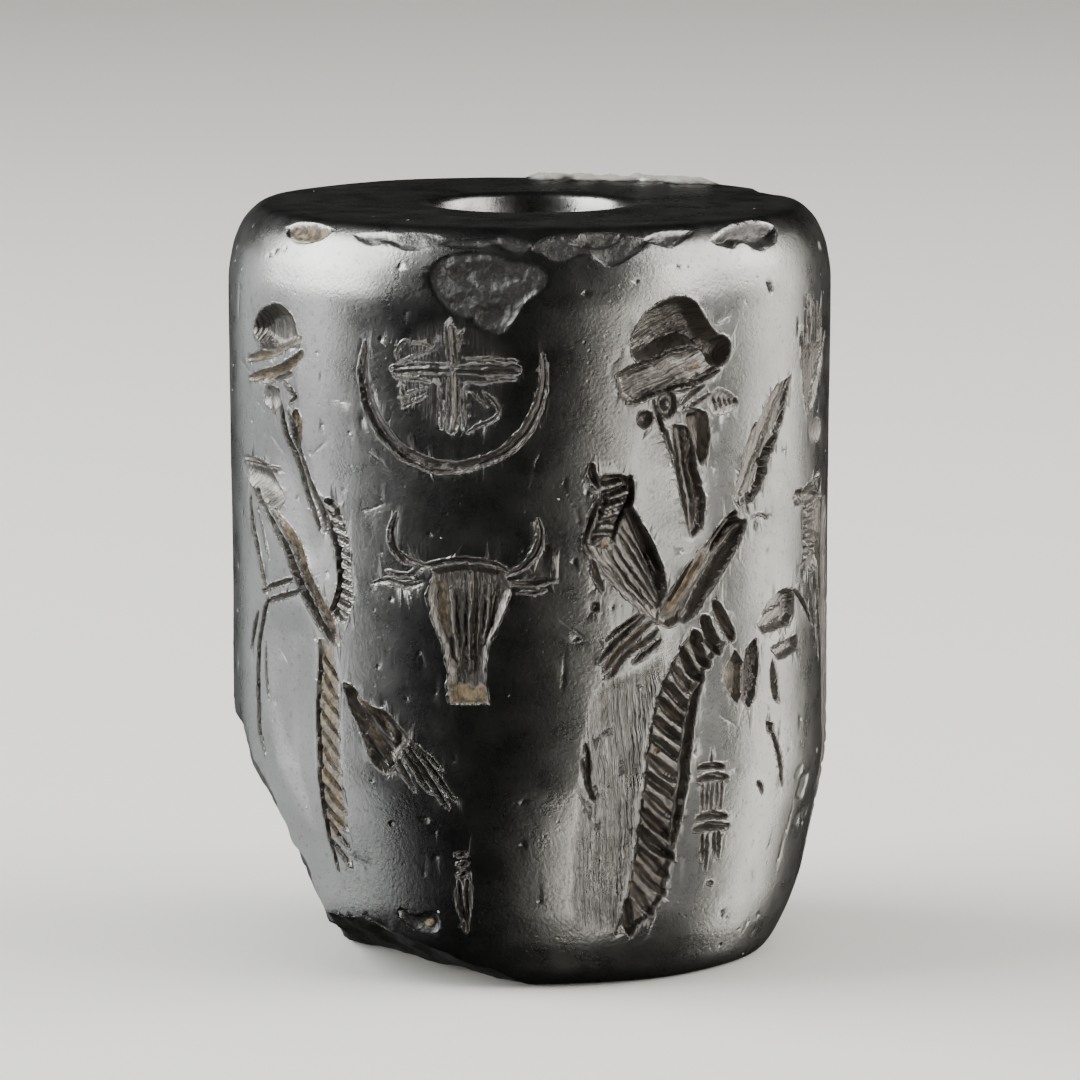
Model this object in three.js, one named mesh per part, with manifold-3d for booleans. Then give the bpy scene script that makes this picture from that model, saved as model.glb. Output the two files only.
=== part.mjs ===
// Cylinder seal: one piece of polished hematite, bored from end to end and carved all round.
// Units are millimetres, +Z is up, and the seal stands on its underside.
// Places on the wall are [around, height]: around is measured along the widest circumference
// from the middle of the front (-Y), positive towards +X.
import * as THREE from "three";
import Module from "manifold-3d";

const wasm = await Module();
wasm.setup();

const sealHeight = 18.7;
const maxRadius = 7.5;
const footRadius = 5.9;
const topRadius = 6.7;
const boreMouthRadius = 2.28;
const boreWaistRadius = 2.0;
const mouthEase = 0.12;
const wallFacets = 64;
const coverLift = 0.3;
const grooveLift = 0.1;
const stationGap = 0.9;
const mainBreakNormal = new THREE.Vector3(-2.13, -0.16, -1).normalize();
const mainBreakPoint = new THREE.Vector3(-4.6, 0, 0);
const frontChipNormal = new THREE.Vector3(-0.37, -0.3, -1).normalize();
const frontChipPoint = new THREE.Vector3(-4.05, -0.5, 0);

const capDepth = 0.3;
const robeDepth = 0.16;
const limbDepth = 0.34;
const lineWidth = 0.22;
const lineDepth = 0.13;
const boldWidth = 0.34;
const boldDepth = 0.2;
const fineWidth = 0.16;
const fineDepth = 0.1;
const hemWidth = 0.28;
const hemDepth = 0.24;
const pitDepth = 0.2;
const deepCut = 0.34;
const moonWidth = 0.42;
const moonDepth = 0.26;
const armWidth = 0.4;

// Radius and height of the worn foot, the slightly waisted wall and the rounded upper edge.
const wallProfile = [
  [footRadius, 0],
  [6.16, 0.4],
  [6.53, 1.15],
  [6.8, 1.9],
  [7.1, 3.3],
  [7.3, 4.25],
  [7.44, 5.1],
  [7.44, 10],
  [maxRadius, 15.5],
  [maxRadius, 17],
  [7.36, 17.75],
  [7.1, 18.3],
  [topRadius, sealHeight],
];

function wallRadius(height) {
  const last = wallProfile.length - 1;
  if (height >= sealHeight) return wallProfile[last][0];
  const above = Math.max(1, wallProfile.findIndex((row) => row[1] > height));
  const [lowRadius, lowHeight] = wallProfile[above - 1];
  const [highRadius, highHeight] = wallProfile[above];
  const share = (height - lowHeight) / (highHeight - lowHeight);
  return lowRadius + share * (highRadius - lowRadius);
}

// A point on the wall, lifted off it by `lift` (negative goes into the stone).
function onWall([around, height], lift) {
  const radius = wallRadius(height) + lift;
  const angle = around / maxRadius;
  return new THREE.Vector3(radius * Math.sin(angle), -radius * Math.cos(angle), height);
}

function solidFrom(positions, indices) {
  const mesh = new wasm.Mesh({
    numProp: 3,
    vertProperties: new Float32Array(positions),
    triVerts: new Uint32Array(indices),
  });
  mesh.merge();
  return new wasm.Manifold(mesh);
}

function solidFromGeometry(geometry) {
  const index = geometry.index ? geometry.index.array : [...geometry.attributes.position.array.keys()];
  const count = geometry.index ? index.length : geometry.attributes.position.count;
  return solidFrom(geometry.attributes.position.array, Array.from(index).slice(0, count));
}

// Joins rings of points, whose first and last are single points, into one closed solid.
function loft(rings) {
  const points = rings.flat();
  const starts = rings.map((_, i) => rings.slice(0, i).flat().length);
  const faces = [];
  for (let i = 0; i + 1 < rings.length; i++) {
    const count = Math.max(rings[i].length, rings[i + 1].length);
    for (let k = 0; k < count; k++) {
      const next = (k + 1) % count;
      const here = (j) => starts[i] + (rings[i].length === 1 ? 0 : j);
      const there = (j) => starts[i + 1] + (rings[i + 1].length === 1 ? 0 : j);
      if (rings[i].length > 1) faces.push([here(k), here(next), there(k)]);
      if (rings[i + 1].length > 1) faces.push([there(k), here(next), there(next)]);
    }
  }
  const volume = faces.reduce((sum, [a, b, c]) => {
    return sum + points[a].dot(points[b].clone().cross(points[c]));
  }, 0);
  const outward = volume > 0 ? faces : faces.map(([a, b, c]) => [a, c, b]);
  return solidFrom(points.flatMap((p) => p.toArray()), outward.flat());
}

function pathThrough(places, closed) {
  const points = places.map(([around, height]) => new THREE.Vector3(around, height, 0));
  return new THREE.CatmullRomCurve3(points, closed, "centripetal");
}

// A V groove along a path on the wall, deepest in the middle and pointed at both ends.
function groove(places, width = lineWidth, depth = lineDepth) {
  const path = pathThrough(places, false);
  const steps = Math.max(3, Math.round(path.getLength() / stationGap) + 1);
  const rings = [];
  for (let i = 0; i <= steps; i++) {
    const share = i / steps;
    const spot = path.getPointAt(share);
    if (i === 0 || i === steps) {
      rings.push([onWall([spot.x, spot.y], grooveLift)]);
      continue;
    }
    const heading = path.getTangentAt(share);
    const fullness = Math.pow(Math.sin(Math.PI * share), 0.5);
    const half = (width / 2) * (fullness + grooveLift / depth);
    const side = (sign) => [spot.x - sign * heading.y * half, spot.y + sign * heading.x * half];
    const bottom = onWall([spot.x, spot.y], -depth * fullness);
    rings.push([onWall(side(1), grooveLift), onWall(side(-1), grooveLift), bottom]);
  }
  return loft(rings);
}

// A sunk field with a rounded outline, sloping sides and a slightly dished floor.
function dish(places, depth, corners = 14, inset = 0.72) {
  const path = pathThrough(places, true);
  const outline = Array.from({ length: corners }, (_, i) => path.getPointAt(i / corners));
  const middle = outline.reduce((sum, p) => sum.add(p), new THREE.Vector3()).divideScalar(corners);
  const ring = (scale, lift) =>
    outline.map((p) => {
      const spot = middle.clone().lerp(p, scale);
      return onWall([spot.x, spot.y], lift);
    });
  const centre = [middle.x, middle.y];
  return loft([
    [onWall(centre, coverLift)],
    ring(1, coverLift),
    ring(1, 0),
    ring(inset, -depth),
    [onWall(centre, -1.1 * depth)],
  ]);
}

// A drilled or cut oval pit: centre, half sizes, and lean from upright in degrees.
function pit(centre, halfWidth, halfHeight, depth, lean = 0, corners = 8) {
  const turn = THREE.MathUtils.degToRad(lean);
  const places = Array.from({ length: corners }, (_, i) => {
    const angle = (2 * Math.PI * i) / corners;
    const across = halfWidth * Math.cos(angle);
    const up = halfHeight * Math.sin(angle);
    return [
      centre[0] + across * Math.cos(turn) + up * Math.sin(turn),
      centre[1] - across * Math.sin(turn) + up * Math.cos(turn),
    ];
  });
  return dish(places, depth, corners, 0.5);
}

// Evenly spaced short grooves from one edge to another, as in a fringe, a strap or a bracelet.
function rungs(fromEdge, toEdge, count, width = lineWidth, depth = lineDepth) {
  const from = pathThrough(fromEdge, false);
  const to = pathThrough(toEdge, false);
  return Array.from({ length: count }, (_, i) => {
    const share = (i + 0.5) / count;
    const start = from.getPointAt(share);
    const end = to.getPointAt(share);
    return groove([[start.x, start.y], [end.x, end.y]], width, depth);
  });
}

function uprights(arounds, top, bottom, width, depth) {
  return arounds.map((around) => groove([[around, top], [around, bottom]], width, depth));
}

function levels(heights, left, right, width, depth, rise = 0) {
  return heights.map((z) => groove([[left, z - rise], [right, z + rise]], width, depth));
}

// The robed figure at the left, turned towards the middle with a hand held low.
function leftFigure() {
  const robe = [[-7.85, 9.1], [-6.2, 9.1], [-5.85, 7], [-5.85, 3.9], [-6.6, 3.9], [-7.9, 5.2], [-8.15, 7]];
  return [
    dish([[-8.6, 15.9], [-8.1, 16.5], [-7.2, 16.85], [-6.5, 16.4], [-6.4, 16.1], [-7.5, 15.8]], capDepth),
    groove([[-8.8, 15.15], [-8, 15.4], [-6.3, 16]], boldWidth, boldDepth),
    groove([[-8.7, 14.75], [-7.5, 15.05], [-6.25, 15.45]], boldWidth, boldDepth),
    pit([-7.4, 14.35], 0.45, 0.34, pitDepth),
    pit([-6.45, 13.6], 0.17, 0.45, pitDepth, 6),
    groove([[-7.1, 14.2], [-6.5, 12.85], [-5.65, 11.2]], lineWidth, boldDepth),
    groove([[-6.75, 14.05], [-6.25, 12.9], [-5.4, 11.3]], lineWidth, lineDepth),
    groove([[-9.2, 12.6], [-8.2, 12.63], [-7.2, 12.55]], lineWidth, boldDepth),
    groove([[-9, 12.4], [-8.2, 12], [-7, 10.9], [-6.3, 9.9], [-5.4, 8.6]], 0.6, limbDepth),
    groove([[-8.8, 11.7], [-8.4, 10.6], [-7.9, 9.7]], boldWidth, boldDepth),
    groove([[-7.95, 9.4], [-6.5, 9.8]], lineWidth, lineDepth),
    groove([[-7.8, 9.15], [-6.6, 9.5]], lineWidth, lineDepth),
    groove([[-7.9, 9.3], [-8.45, 7.9], [-8.3, 7], [-8.05, 5.3]], boldWidth, boldDepth),
    dish(robe, robeDepth),
    ...rungs([[-5.72, 8.5], [-5.75, 6], [-5.66, 3.5]], [[-5.2, 7.85], [-5.05, 5.4], [-4.98, 2.9]], 11),
    ...rungs(
      [[-5.75, 12.1], [-5.25, 11], [-5, 10.2], [-5.1, 9.2]],
      [[-5.4, 12.1], [-4.9, 11.1], [-4.65, 10.2], [-4.75, 9]],
      11,
      fineWidth,
      fineDepth,
    ),
    groove([[-5.6, 11.9], [-5.15, 10.9], [-5.2, 9.2]], lineWidth, lineDepth),
  ];
}

// Crescent cradling a four-armed star: sunk arms that meet in a cross, with thin rays between them.
function moonAndStar() {
  const centre = [-1.92, 15.34];
  const sweep = Array.from({ length: 9 }, (_, i) => {
    const angle = THREE.MathUtils.degToRad(165 + (i * 200) / 8);
    return [centre[0] + 2.3 * Math.cos(angle), centre[1] + 2.3 * Math.sin(angle)];
  });
  const at = (degrees, reach) => {
    const angle = THREE.MathUtils.degToRad(degrees);
    return [centre[0] + reach * Math.cos(angle), centre[1] + reach * Math.sin(angle)];
  };
  const arms = [0, 90, 180, 270].map((turn) => {
    return groove([at(turn, 0.1), at(turn, 1.6)], armWidth, boldDepth);
  });
  const rayInner = 0.75;
  const rayOuter = 1.55;
  const rays = [205, 222, 312, 326, 160].map((turn) => {
    return groove([at(turn, rayInner), at(turn, rayOuter)], fineWidth, fineDepth);
  });
  return [groove(sweep, moonWidth, moonDepth), ...arms, ...rays];
}

// Bull's head seen from the front, between its curved horns.
function bullHead() {
  const head = [[-2.4, 10.4], [-0.5, 10.4], [-0.9, 9], [-1.1, 7.3], [-1.9, 7.3], [-2.1, 8.6]];
  return [
    dish(head, 0.24, 12),
    ...uprights([-2.1, -1.65, -1.25, -0.9], 10.3, 8.6, lineWidth, deepCut),
    groove([[-3, 10.4], [-2.3, 10.6], [-0.6, 10.6]], boldWidth, boldDepth),
    groove([[-3.4, 11.75], [-3.5, 11.2], [-3.1, 10.65], [-2.4, 10.55]], 0.3, 0.22),
    groove([[0.2, 11.65], [0.2, 11.1], [-0.5, 10.4]], 0.3, 0.22),
    groove([[-4, 10.1], [-2.6, 10.1]], 0.3, 0.2),
    groove([[-0.5, 10.15], [0.65, 10.2]], 0.3, 0.2),
  ];
}

// Small creature with a leaf-shaped body, and the short rod below it.
function creatureAndRod() {
  const tails = [[-2.8, 5], [-2.3, 4.65], [-1.95, 4.95], [-2.4, 5.85]];
  const body = [[-4.9, 7.6], [-4.2, 7.3], [-3.5, 6.8], [-3.2, 6.1], [-3.7, 5.5], [-4.3, 6.1], [-4.7, 6.8]];
  return [
    dish(body, capDepth, 12),
    ...tails.map((tip, i) => groove([[-3.4 + 0.13 * i, 5.65 + 0.13 * i], tip], lineWidth, lineDepth)),
    ...levels([3.65, 3.4, 3.1], -2, -1.5, lineWidth, lineDepth, 0.05),
    pit([-1.8, 3.88], 0.12, 0.12, 0.12, 0, 6),
    ...uprights([-2, -1.68], 3.1, 1.7, lineWidth, lineDepth),
  ];
}

// The robed figure right of the middle, turned left with one hand raised and one across the waist.
function rightFigure() {
  const cap = [[2.5, 15.9], [2.8, 16.6], [3.65, 17.1], [4.45, 16.6], [5.2, 15.8], [4.2, 15.9], [3.2, 15.75]];
  const brim = [[2.1, 15.2], [3.2, 15.6], [4.45, 15.8], [5, 15.4], [4.3, 15], [3.1, 14.72], [2.4, 14.5]];
  const upperArm = [[1.4, 11.15], [2.3, 10.05], [3.3, 9.15], [3.4, 10.2], [2.9, 11.2], [2.35, 12]];
  const forearm = [[3.3, 9.15], [4.05, 10.5], [5.4, 11.7], [5.8, 11.2], [4.75, 9.95], [3.7, 9.05]];
  const beard = [[3.6, 14], [4.15, 13.9], [4.45, 12.2], [4.3, 11.15], [3.95, 11.6], [3.75, 12.9]];
  const skirt = [[1.7, 7.7], [3.1, 8.2], [2.85, 5.5], [2.55, 1.9], [1.4, 1.9], [1.3, 4.2], [1.5, 6]];
  const innerHem = [[5.6, 10.05], [4.5, 9.15], [3.8, 8.3], [3.3, 7.3], [3, 6], [2.8, 3.8], [2.5, 1.9]];
  const outerHem = [[6.3, 9.3], [5.3, 8.5], [4.55, 7.75], [4.2, 6.7], [4, 5.4], [3.8, 2.8], [3.1, 1.45]];
  return [
    dish(cap, capDepth),
    dish(brim, pitDepth, 12),
    pit([2.87, 14.14], 0.22, 0.24, pitDepth, 0, 6),
    pit([3.45, 14.4], 0.28, 0.34, pitDepth, -10, 6),
    pit([5.05, 14.4], 0.45, 0.32, pitDepth),
    dish(beard, pitDepth, 12),
    groove([[3.9, 13.8], [4.1, 12.6], [4.25, 11.5]], lineWidth, deepCut),
    groove([[3.8, 14.4], [4.5, 14.85]], lineWidth, lineDepth),
    pit([4.4, 13.6], 0.24, 0.62, 0.3, -8),
    ...rungs([[1.85, 12.6], [1.5, 11.4]], [[2.4, 12.65], [2.05, 11.35]], 6, fineWidth, fineDepth),
    dish(upperArm, limbDepth, 12),
    dish(forearm, limbDepth, 12),
    ...rungs([[3, 9.35], [3.2, 8.9]], [[1.8, 8.4], [1.9, 7.9]], 3),
    dish(skirt, robeDepth, 12),
    ...rungs(innerHem, outerHem, 19, hemWidth, hemDepth),
    groove([[1.35, 6.2], [1.45, 5.5], [1.6, 4.85]], lineWidth, lineDepth),
  ];
}

// Things held or standing right of that figure: a feathered stem, two seeds, a small staff.
function stemsAndStaff() {
  const stem = [[7.7, 14.8], [7, 13.5], [6.35, 12.3], [5.6, 11.8], [5.95, 13.2], [6.8, 14.4]];
  return [
    dish(stem, robeDepth, 12),
    groove([[5.55, 12.2], [5.85, 13], [6.2, 13.75]], lineWidth, boldDepth),
    groove([[5.9, 11.85], [6.5, 12.55], [7.1, 13.45]], lineWidth, deepCut),
    pit([5.5, 7.6], 0.32, 0.7, 0.28, -8),
    pit([6.1, 7.65], 0.26, 0.85, 0.26, 8),
    ...levels([5.5, 5.2, 4.2, 3.95], 4.4, 5.45, lineWidth, lineDepth),
    ...uprights([4.65, 4.9, 5.1], 5.05, 4.5, fineWidth, fineDepth),
    groove([[4.65, 3.7], [5, 2.8]], lineWidth, lineDepth),
    groove([[5.2, 3.8], [5.25, 3.1]], lineWidth, lineDepth),
    groove([[6.2, 8.8], [7.6, 9.4], [8.8, 8.6], [9.4, 8.2]], 0.6, 0.28),
    groove([[6.6, 8.15], [8.2, 8.25]], 0.42, 0.22),
    groove([[6.75, 7.75], [7.25, 6.6]], 0.36, 0.22),
    pit([6.75, 6.2], 0.22, 0.2, 0.2, 0, 6),
    groove([[7.05, 6], [7.25, 5.5], [7.5, 4.7]], lineWidth, lineDepth),
  ];
}

// The figure at the right edge, which runs on round the side.
function sideFigure() {
  return [
    ...uprights([8.3, 8.6, 8.9, 9.2], 16.6, 15.3, 0.24, 0.16),
    groove([[8, 15.2], [8.6, 14.85], [9.2, 15], [9.5, 15.6]], boldWidth, boldDepth),
    pit([9.1, 14.2], 0.55, 0.5, 0.28),
    pit([8.1, 11.75], 0.3, 0.2, 0.15, 0, 6),
    groove([[8.4, 11.7], [10.3, 11.8]], 0.5, 0.28),
    ...levels([11.3, 10.95, 10.6, 10.25], 8.5, 9.5, lineWidth, lineDepth),
    dish([[9.9, 11.2], [10.9, 11.2], [11.3, 8.5], [11.4, 4.5], [10.2, 4.5], [9.9, 8]], robeDepth, 12),
    groove([[9.3, 8], [9.5, 7], [9.6, 6.2]], boldWidth, boldDepth),
    groove([[8.4, 9.4], [9.2, 8.2]], lineWidth, lineDepth),
    ...rungs([[11.4, 8.8], [11.5, 4.8]], [[12.2, 8.4], [12.3, 4.4]], 8),
  ];
}

// The far side, cut more plainly: a standing worshipper, two standards, a drilled star and dots.
function farSide() {
  const middle = 18.6;
  const star = [20.9, 14.6];
  const rays = Array.from({ length: 4 }, (_, i) => {
    const angle = (Math.PI * i) / 4;
    const reach = 0.95;
    const end = (sign) => [
      star[0] + sign * reach * Math.cos(angle),
      star[1] + sign * reach * Math.sin(angle),
    ];
    return groove([end(-1), end(1)], lineWidth, boldDepth);
  });
  const robe = [[-0.9, 9], [0.9, 9], [1.1, 6], [1.3, 3], [-1.3, 3], [-1.1, 6]];
  return [
    ...rays,
    pit([middle, 15.6], 0.6, 0.55, capDepth),
    groove([[middle - 0.8, 14.9], [middle + 0.8, 14.9]], boldWidth, boldDepth),
    pit([middle, 14], 0.42, 0.5, 0.24),
    dish([[-0.8, 12.7], [0.8, 12.7], [0.7, 9.6], [-0.7, 9.6]].map(([s, z]) => [middle + s, z]), 0.22, 10),
    groove([[middle + 0.6, 12.3], [middle + 1.6, 11.4], [middle + 1.7, 12.9]], 0.42, 0.24),
    dish(robe.map(([s, z]) => [middle + s, z]), robeDepth, 12),
    ...rungs([[middle + 1.1, 8.6], [middle + 1.5, 3.6]], [[middle + 1.8, 8.2], [middle + 2.2, 3.2]], 8),
    ...uprights([15, 15.35], 13, 5, lineWidth, lineDepth),
    pit([15.2, 13.7], 0.5, 0.5, moonDepth),
    ...uprights([27.8, 28.2], 12.4, 4.6, lineWidth, lineDepth),
    groove([[26.8, 13.8], [28, 12.6], [29.2, 13.8]], boldWidth, boldDepth),
    ...[[31.6, 14.6], [32.6, 13.8], [31.7, 13]].map((spot) => pit(spot, 0.36, 0.36, pitDepth, 0, 6)),
  ];
}

// A large block whose one face lies on the given plane, taking off all that is beyond it.
function slab(point, normal, reach) {
  const box = new THREE.BoxGeometry(reach, reach, reach).translate(0, 0, reach / 2);
  const turn = new THREE.Quaternion().setFromUnitVectors(new THREE.Vector3(0, 0, 1), normal);
  box.applyQuaternion(turn).translate(point.x, point.y, point.z);
  return solidFromGeometry(box);
}

// A rounded scoop such as a blow leaves: a coarse ball sunk `depth` into the stone at a point.
function scoop(point, normal, radius, depth, facets = 10) {
  const ball = new THREE.SphereGeometry(radius, facets, Math.round(facets * 0.6));
  const centre = point.clone().addScaledVector(normal, radius - depth);
  return solidFromGeometry(ball.translate(centre.x, centre.y, centre.z));
}

// The lower left corner knocked off, the flaked front of the foot, and the chips of the top edge.
function damage() {
  const rimChip = (around, radius, depth) => {
    const normal = onWall([around, 18.4], 1).sub(onWall([around, 18.4], 0));
    normal.z = 1;
    return scoop(onWall([around, 18.45], 0), normal.normalize(), radius, depth, 8);
  };
  const flake = [[-2.6, 17.4], [-2.1, 16.8], [-0.6, 16.1], [-0.1, 17], [0.4, 18], [-1, 18.1], [-2.4, 18.1]];
  return [
    slab(mainBreakPoint, mainBreakNormal, 30),
    scoop(new THREE.Vector3(-5.6, -1.2, 2.3), mainBreakNormal, 6, 0.3, 16),
    scoop(new THREE.Vector3(-5.75, 2.8, 2), mainBreakNormal, 4, 0.3, 14),
    slab(frontChipPoint, frontChipNormal, 12),
    dish(flake, capDepth, 12),
    pit([-0.95, 16.7], 0.5, 0.42, 0.38, 20),
    pit([6.7, 17.1], 0.2, 0.3, 0.15, 30, 6),
    rimChip(-6.6, 0.9, 0.3),
    rimChip(1.9, 0.8, 0.2),
    rimChip(6.6, 1, 0.3),
    rimChip(14.5, 1.3, 0.35),
  ];
}

function blank() {
  const bore = [
    [boreMouthRadius + mouthEase, sealHeight],
    [boreMouthRadius, sealHeight - 2 * mouthEase],
    [boreWaistRadius, sealHeight / 2],
    [boreMouthRadius, 2 * mouthEase],
    [boreMouthRadius + mouthEase, 0],
  ];
  const outline = [...wallProfile, ...bore, wallProfile[0]];
  const profile = outline.map(([radius, height]) => new THREE.Vector2(radius, height));
  const turned = new THREE.LatheGeometry(profile, wallFacets);
  return solidFromGeometry(turned.rotateX(Math.PI / 2));
}

function geometryFrom(solid) {
  const mesh = solid.getMesh();
  const geometry = new THREE.BufferGeometry();
  geometry.setAttribute("position", new THREE.BufferAttribute(new Float32Array(mesh.vertProperties), 3));
  geometry.setIndex(new THREE.BufferAttribute(new Uint32Array(mesh.triVerts), 1));
  return geometry.toNonIndexed();
}

const cutters = [
  ...damage(),
  ...leftFigure(),
  ...moonAndStar(),
  ...bullHead(),
  ...creatureAndRod(),
  ...rightFigure(),
  ...stemsAndStaff(),
  ...sideFigure(),
  ...farSide(),
];
const carved = cutters.reduce((solid, cutter) => solid.subtract(cutter), blank());
const geometry = geometryFrom(carved);
geometry.computeVertexNormals();

const hematite = new THREE.MeshStandardMaterial({ color: "#5a5b5e", roughness: 0.3, metalness: 0.85 });
const seal = new THREE.Mesh(geometry, hematite);
seal.name = "seal_body";

const part = new THREE.Group();
part.name = "cylinder_seal";
part.add(seal);

export default part;
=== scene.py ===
import math
import bpy
import mathutils
import numpy as np
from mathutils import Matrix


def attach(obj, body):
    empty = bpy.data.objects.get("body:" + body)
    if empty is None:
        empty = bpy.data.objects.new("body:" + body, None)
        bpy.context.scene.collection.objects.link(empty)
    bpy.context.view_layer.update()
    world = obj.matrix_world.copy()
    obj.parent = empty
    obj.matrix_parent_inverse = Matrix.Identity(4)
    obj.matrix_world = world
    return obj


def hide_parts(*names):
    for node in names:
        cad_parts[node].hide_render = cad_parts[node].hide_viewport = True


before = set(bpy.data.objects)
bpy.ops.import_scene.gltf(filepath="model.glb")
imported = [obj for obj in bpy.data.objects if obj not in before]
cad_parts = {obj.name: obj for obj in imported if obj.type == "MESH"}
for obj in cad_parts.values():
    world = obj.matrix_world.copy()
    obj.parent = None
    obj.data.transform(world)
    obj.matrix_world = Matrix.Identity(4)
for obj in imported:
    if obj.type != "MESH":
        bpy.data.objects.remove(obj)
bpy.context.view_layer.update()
print("frame loaded")

# Cylinder seal. Sizes below are millimetres. A place on the wall is (around, height): around is
# measured along the widest circumference from the middle of the front, positive towards +X.
seal = {
    "maxRadius": 7.5,
    # closed section of the turned blank, as (radius, height) from the bore's lower mouth outwards
    "section": [
        (2.4, 0), (5.85, 0), (6.16, 0.4), (6.53, 1.15), (6.8, 1.9), (7.1, 3.3), (7.3, 4.25), (7.43, 5.1),
        (7.44, 10), (7.5, 15.5), (7.5, 17), (7.36, 17.75), (7.12, 18.3), (6.7, 18.7), (2.4, 18.7),
        (2.26, 17.6), (2.0, 9.35), (2.26, 1.1),
    ],
    # the section is laid out in short runs, then averaged over this many runs to each side
    "runLength": 0.01,
    "softRuns": 60,
    "sectionSoftness": 0.16,
    # radii that part the bore, the two ends and the wall; between these heights a row's rise is its height
    "boreWithin": 2.38,
    "cutBeyond": 2.6,
    "wallBeyond": 5.9,
    "wallHeights": (0.35, 18.35),
    "fineStep": 0.036,
    "plainStep": 0.13,
    "fineReach": 11.2,
    "endStep": 0.14,
    "boreStep": 0.3,
    "trianglesKept": 196000,
    "heart": (4.6, 7.2),
}
girth = 2 * math.pi * seal["maxRadius"]


def smoothStep(low, high, x):
    t = np.clip((x - low) / (high - low), 0, 1)
    return t * t * (3 - 2 * t)


def latticeNoise(across, up, size, seed):
    # random numbers on a square lattice, blended smoothly between its points, closing round the girth
    columns = max(3, round(girth / size))
    values = np.random.default_rng(seed).uniform(-1, 1, (columns, 257))
    a, b = across / girth * columns, up / size
    ia, ib = np.floor(a).astype(int), np.floor(b).astype(int)
    fa, fb = a - ia, b - ib
    fa, fb = fa * fa * (3 - 2 * fa), fb * fb * (3 - 2 * fb)
    at = lambda i, j: values[i % columns, j % 257]
    low = at(ia, ib) * (1 - fa) + at(ia + 1, ib) * fa
    high = at(ia, ib + 1) * (1 - fa) + at(ia + 1, ib + 1) * fa
    return low * (1 - fb) + high * fb


def layeredNoise(across, up, size, seed, layers=3):
    # each layer is half the size and half the strength of the one before
    return sum(latticeNoise(across, up, size / 2**k, seed + k) / 2**k for k in range(layers))


def sectionRows():
    # the section's corners are softened by a running average along its length, then sampled in steps
    # that suit each stretch
    corners = np.array(seal["section"] + seal["section"][:1], float)
    lengths = np.r_[0, np.cumsum(np.hypot(*np.diff(corners, axis=0).T))]
    fine = np.arange(0, lengths[-1], seal["runLength"])
    line = np.stack([np.interp(fine, lengths, corners[:, k]) for k in (0, 1)], 1)
    side = seal["softRuns"]
    reach = np.arange(-side, side + 1) * seal["runLength"]
    weights = np.exp(-0.5 * (reach / seal["sectionSoftness"]) ** 2)
    weights /= weights.sum()
    padded = np.concatenate([line[-side:], line, line[:side]])
    line = np.stack([np.convolve(padded[:, k], weights, "valid") for k in (0, 1)], 1)
    onWall = line[:, 0] > seal["wallBeyond"]
    inBore = line[:, 0] < seal["boreWithin"]
    step = np.where(onWall, seal["fineStep"], np.where(inBore, seal["boreStep"], seal["endStep"]))
    count = np.cumsum(seal["runLength"] / step)
    picks = np.searchsorted(count, np.arange(0.5, count[-1]))
    radius, height = line[picks].T
    # rise equals the height on the wall and goes on by length over both ends
    run = fine[picks]
    low, high = seal["wallHeights"]
    lowAt, highAt = np.interp((low, high), height[onWall[picks]], run[onWall[picks]])
    rise = np.where(run < lowAt, low + run - lowAt, np.where(run > highAt, high + run - highAt, height))
    ahead, behind = np.roll(line, -3, 0)[picks], np.roll(line, 3, 0)[picks]
    tangent = ahead - behind
    tangent /= np.hypot(*tangent.T)[:, None]
    return radius, height, rise, tangent[:, 1], -tangent[:, 0]


def columnPlaces():
    reach = seal["fineReach"]
    front = np.linspace(-reach, reach, round(2 * reach / seal["fineStep"]), endpoint=False)
    back = np.linspace(reach, girth - reach, round((girth - 2 * reach) / seal["plainStep"]), endpoint=False)
    return np.concatenate([front, back])


rowRadius, rowHeight, rowRise, rowOut, rowUp = sectionRows()
around = columnPlaces()
print("grid", len(around), "by", len(rowRise))

# hand-cut edges wander a little, so each cell is looked up at a slightly shifted place
grid = np.meshgrid(around, rowRise, indexing="ij")
wander = 0.026
placeAcross = grid[0] + wander * layeredNoise(grid[0], grid[1], 0.4, 11, 3)
placeUp = grid[1] + wander * layeredNoise(grid[0], grid[1], 0.4, 21, 3)
depthMap = np.zeros_like(placeUp)
dentMap = np.zeros_like(placeUp)
soilMap = np.zeros_like(placeUp)
streakMap = np.zeros_like(placeUp)
# places measured beside and along the tool's path, so that drag lines can follow every stroke
besideMap, onwardMap = grid[0].copy(), grid[1].copy()


def smoothPath(places, spacing, closed=False):
    # Catmull-Rom curve through the places
    p = np.array(places, float)
    p = np.concatenate([p[-1:], p, p[:2]]) if closed else np.concatenate([2 * p[:1] - p[1:2],
        p, 2 * p[-1:] - p[-2:-1]])
    out = []
    for a, b, c, d in zip(p[:-3], p[1:-2], p[2:-1], p[3:]):
        t = np.linspace(0, 1, max(3, math.ceil(np.hypot(*(c - b)) / spacing)), endpoint=False)[:, None]
        out.append(0.5 * (2 * b + (c - a) * t + (2 * a - 5 * b + 4 * c - d) * t**2
            + (3 * b - a - 3 * c + d) * t**3))
    return np.concatenate(out + ([] if closed else [p[-2:-1]]))


def block(path, margin):
    # the part of the grid around a path; paths on the far side use places beyond the fine front's reach
    low, high = path.min(0) - margin, path.max(0) + margin
    i0, i1 = np.searchsorted(around, (low[0], high[0]))
    return slice(i0, i1), slice(*rowSpan(low[1], high[1]))


def rowSpan(low, high):
    # rows run up the outside in order; the bore's rows come after and are never cut
    inside = np.flatnonzero((rowRise > low) & (rowRise < high) & (rowRadius > seal["cutBeyond"]))
    return (int(inside[0]), int(inside[-1]) + 1) if len(inside) else (0, 0)


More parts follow.
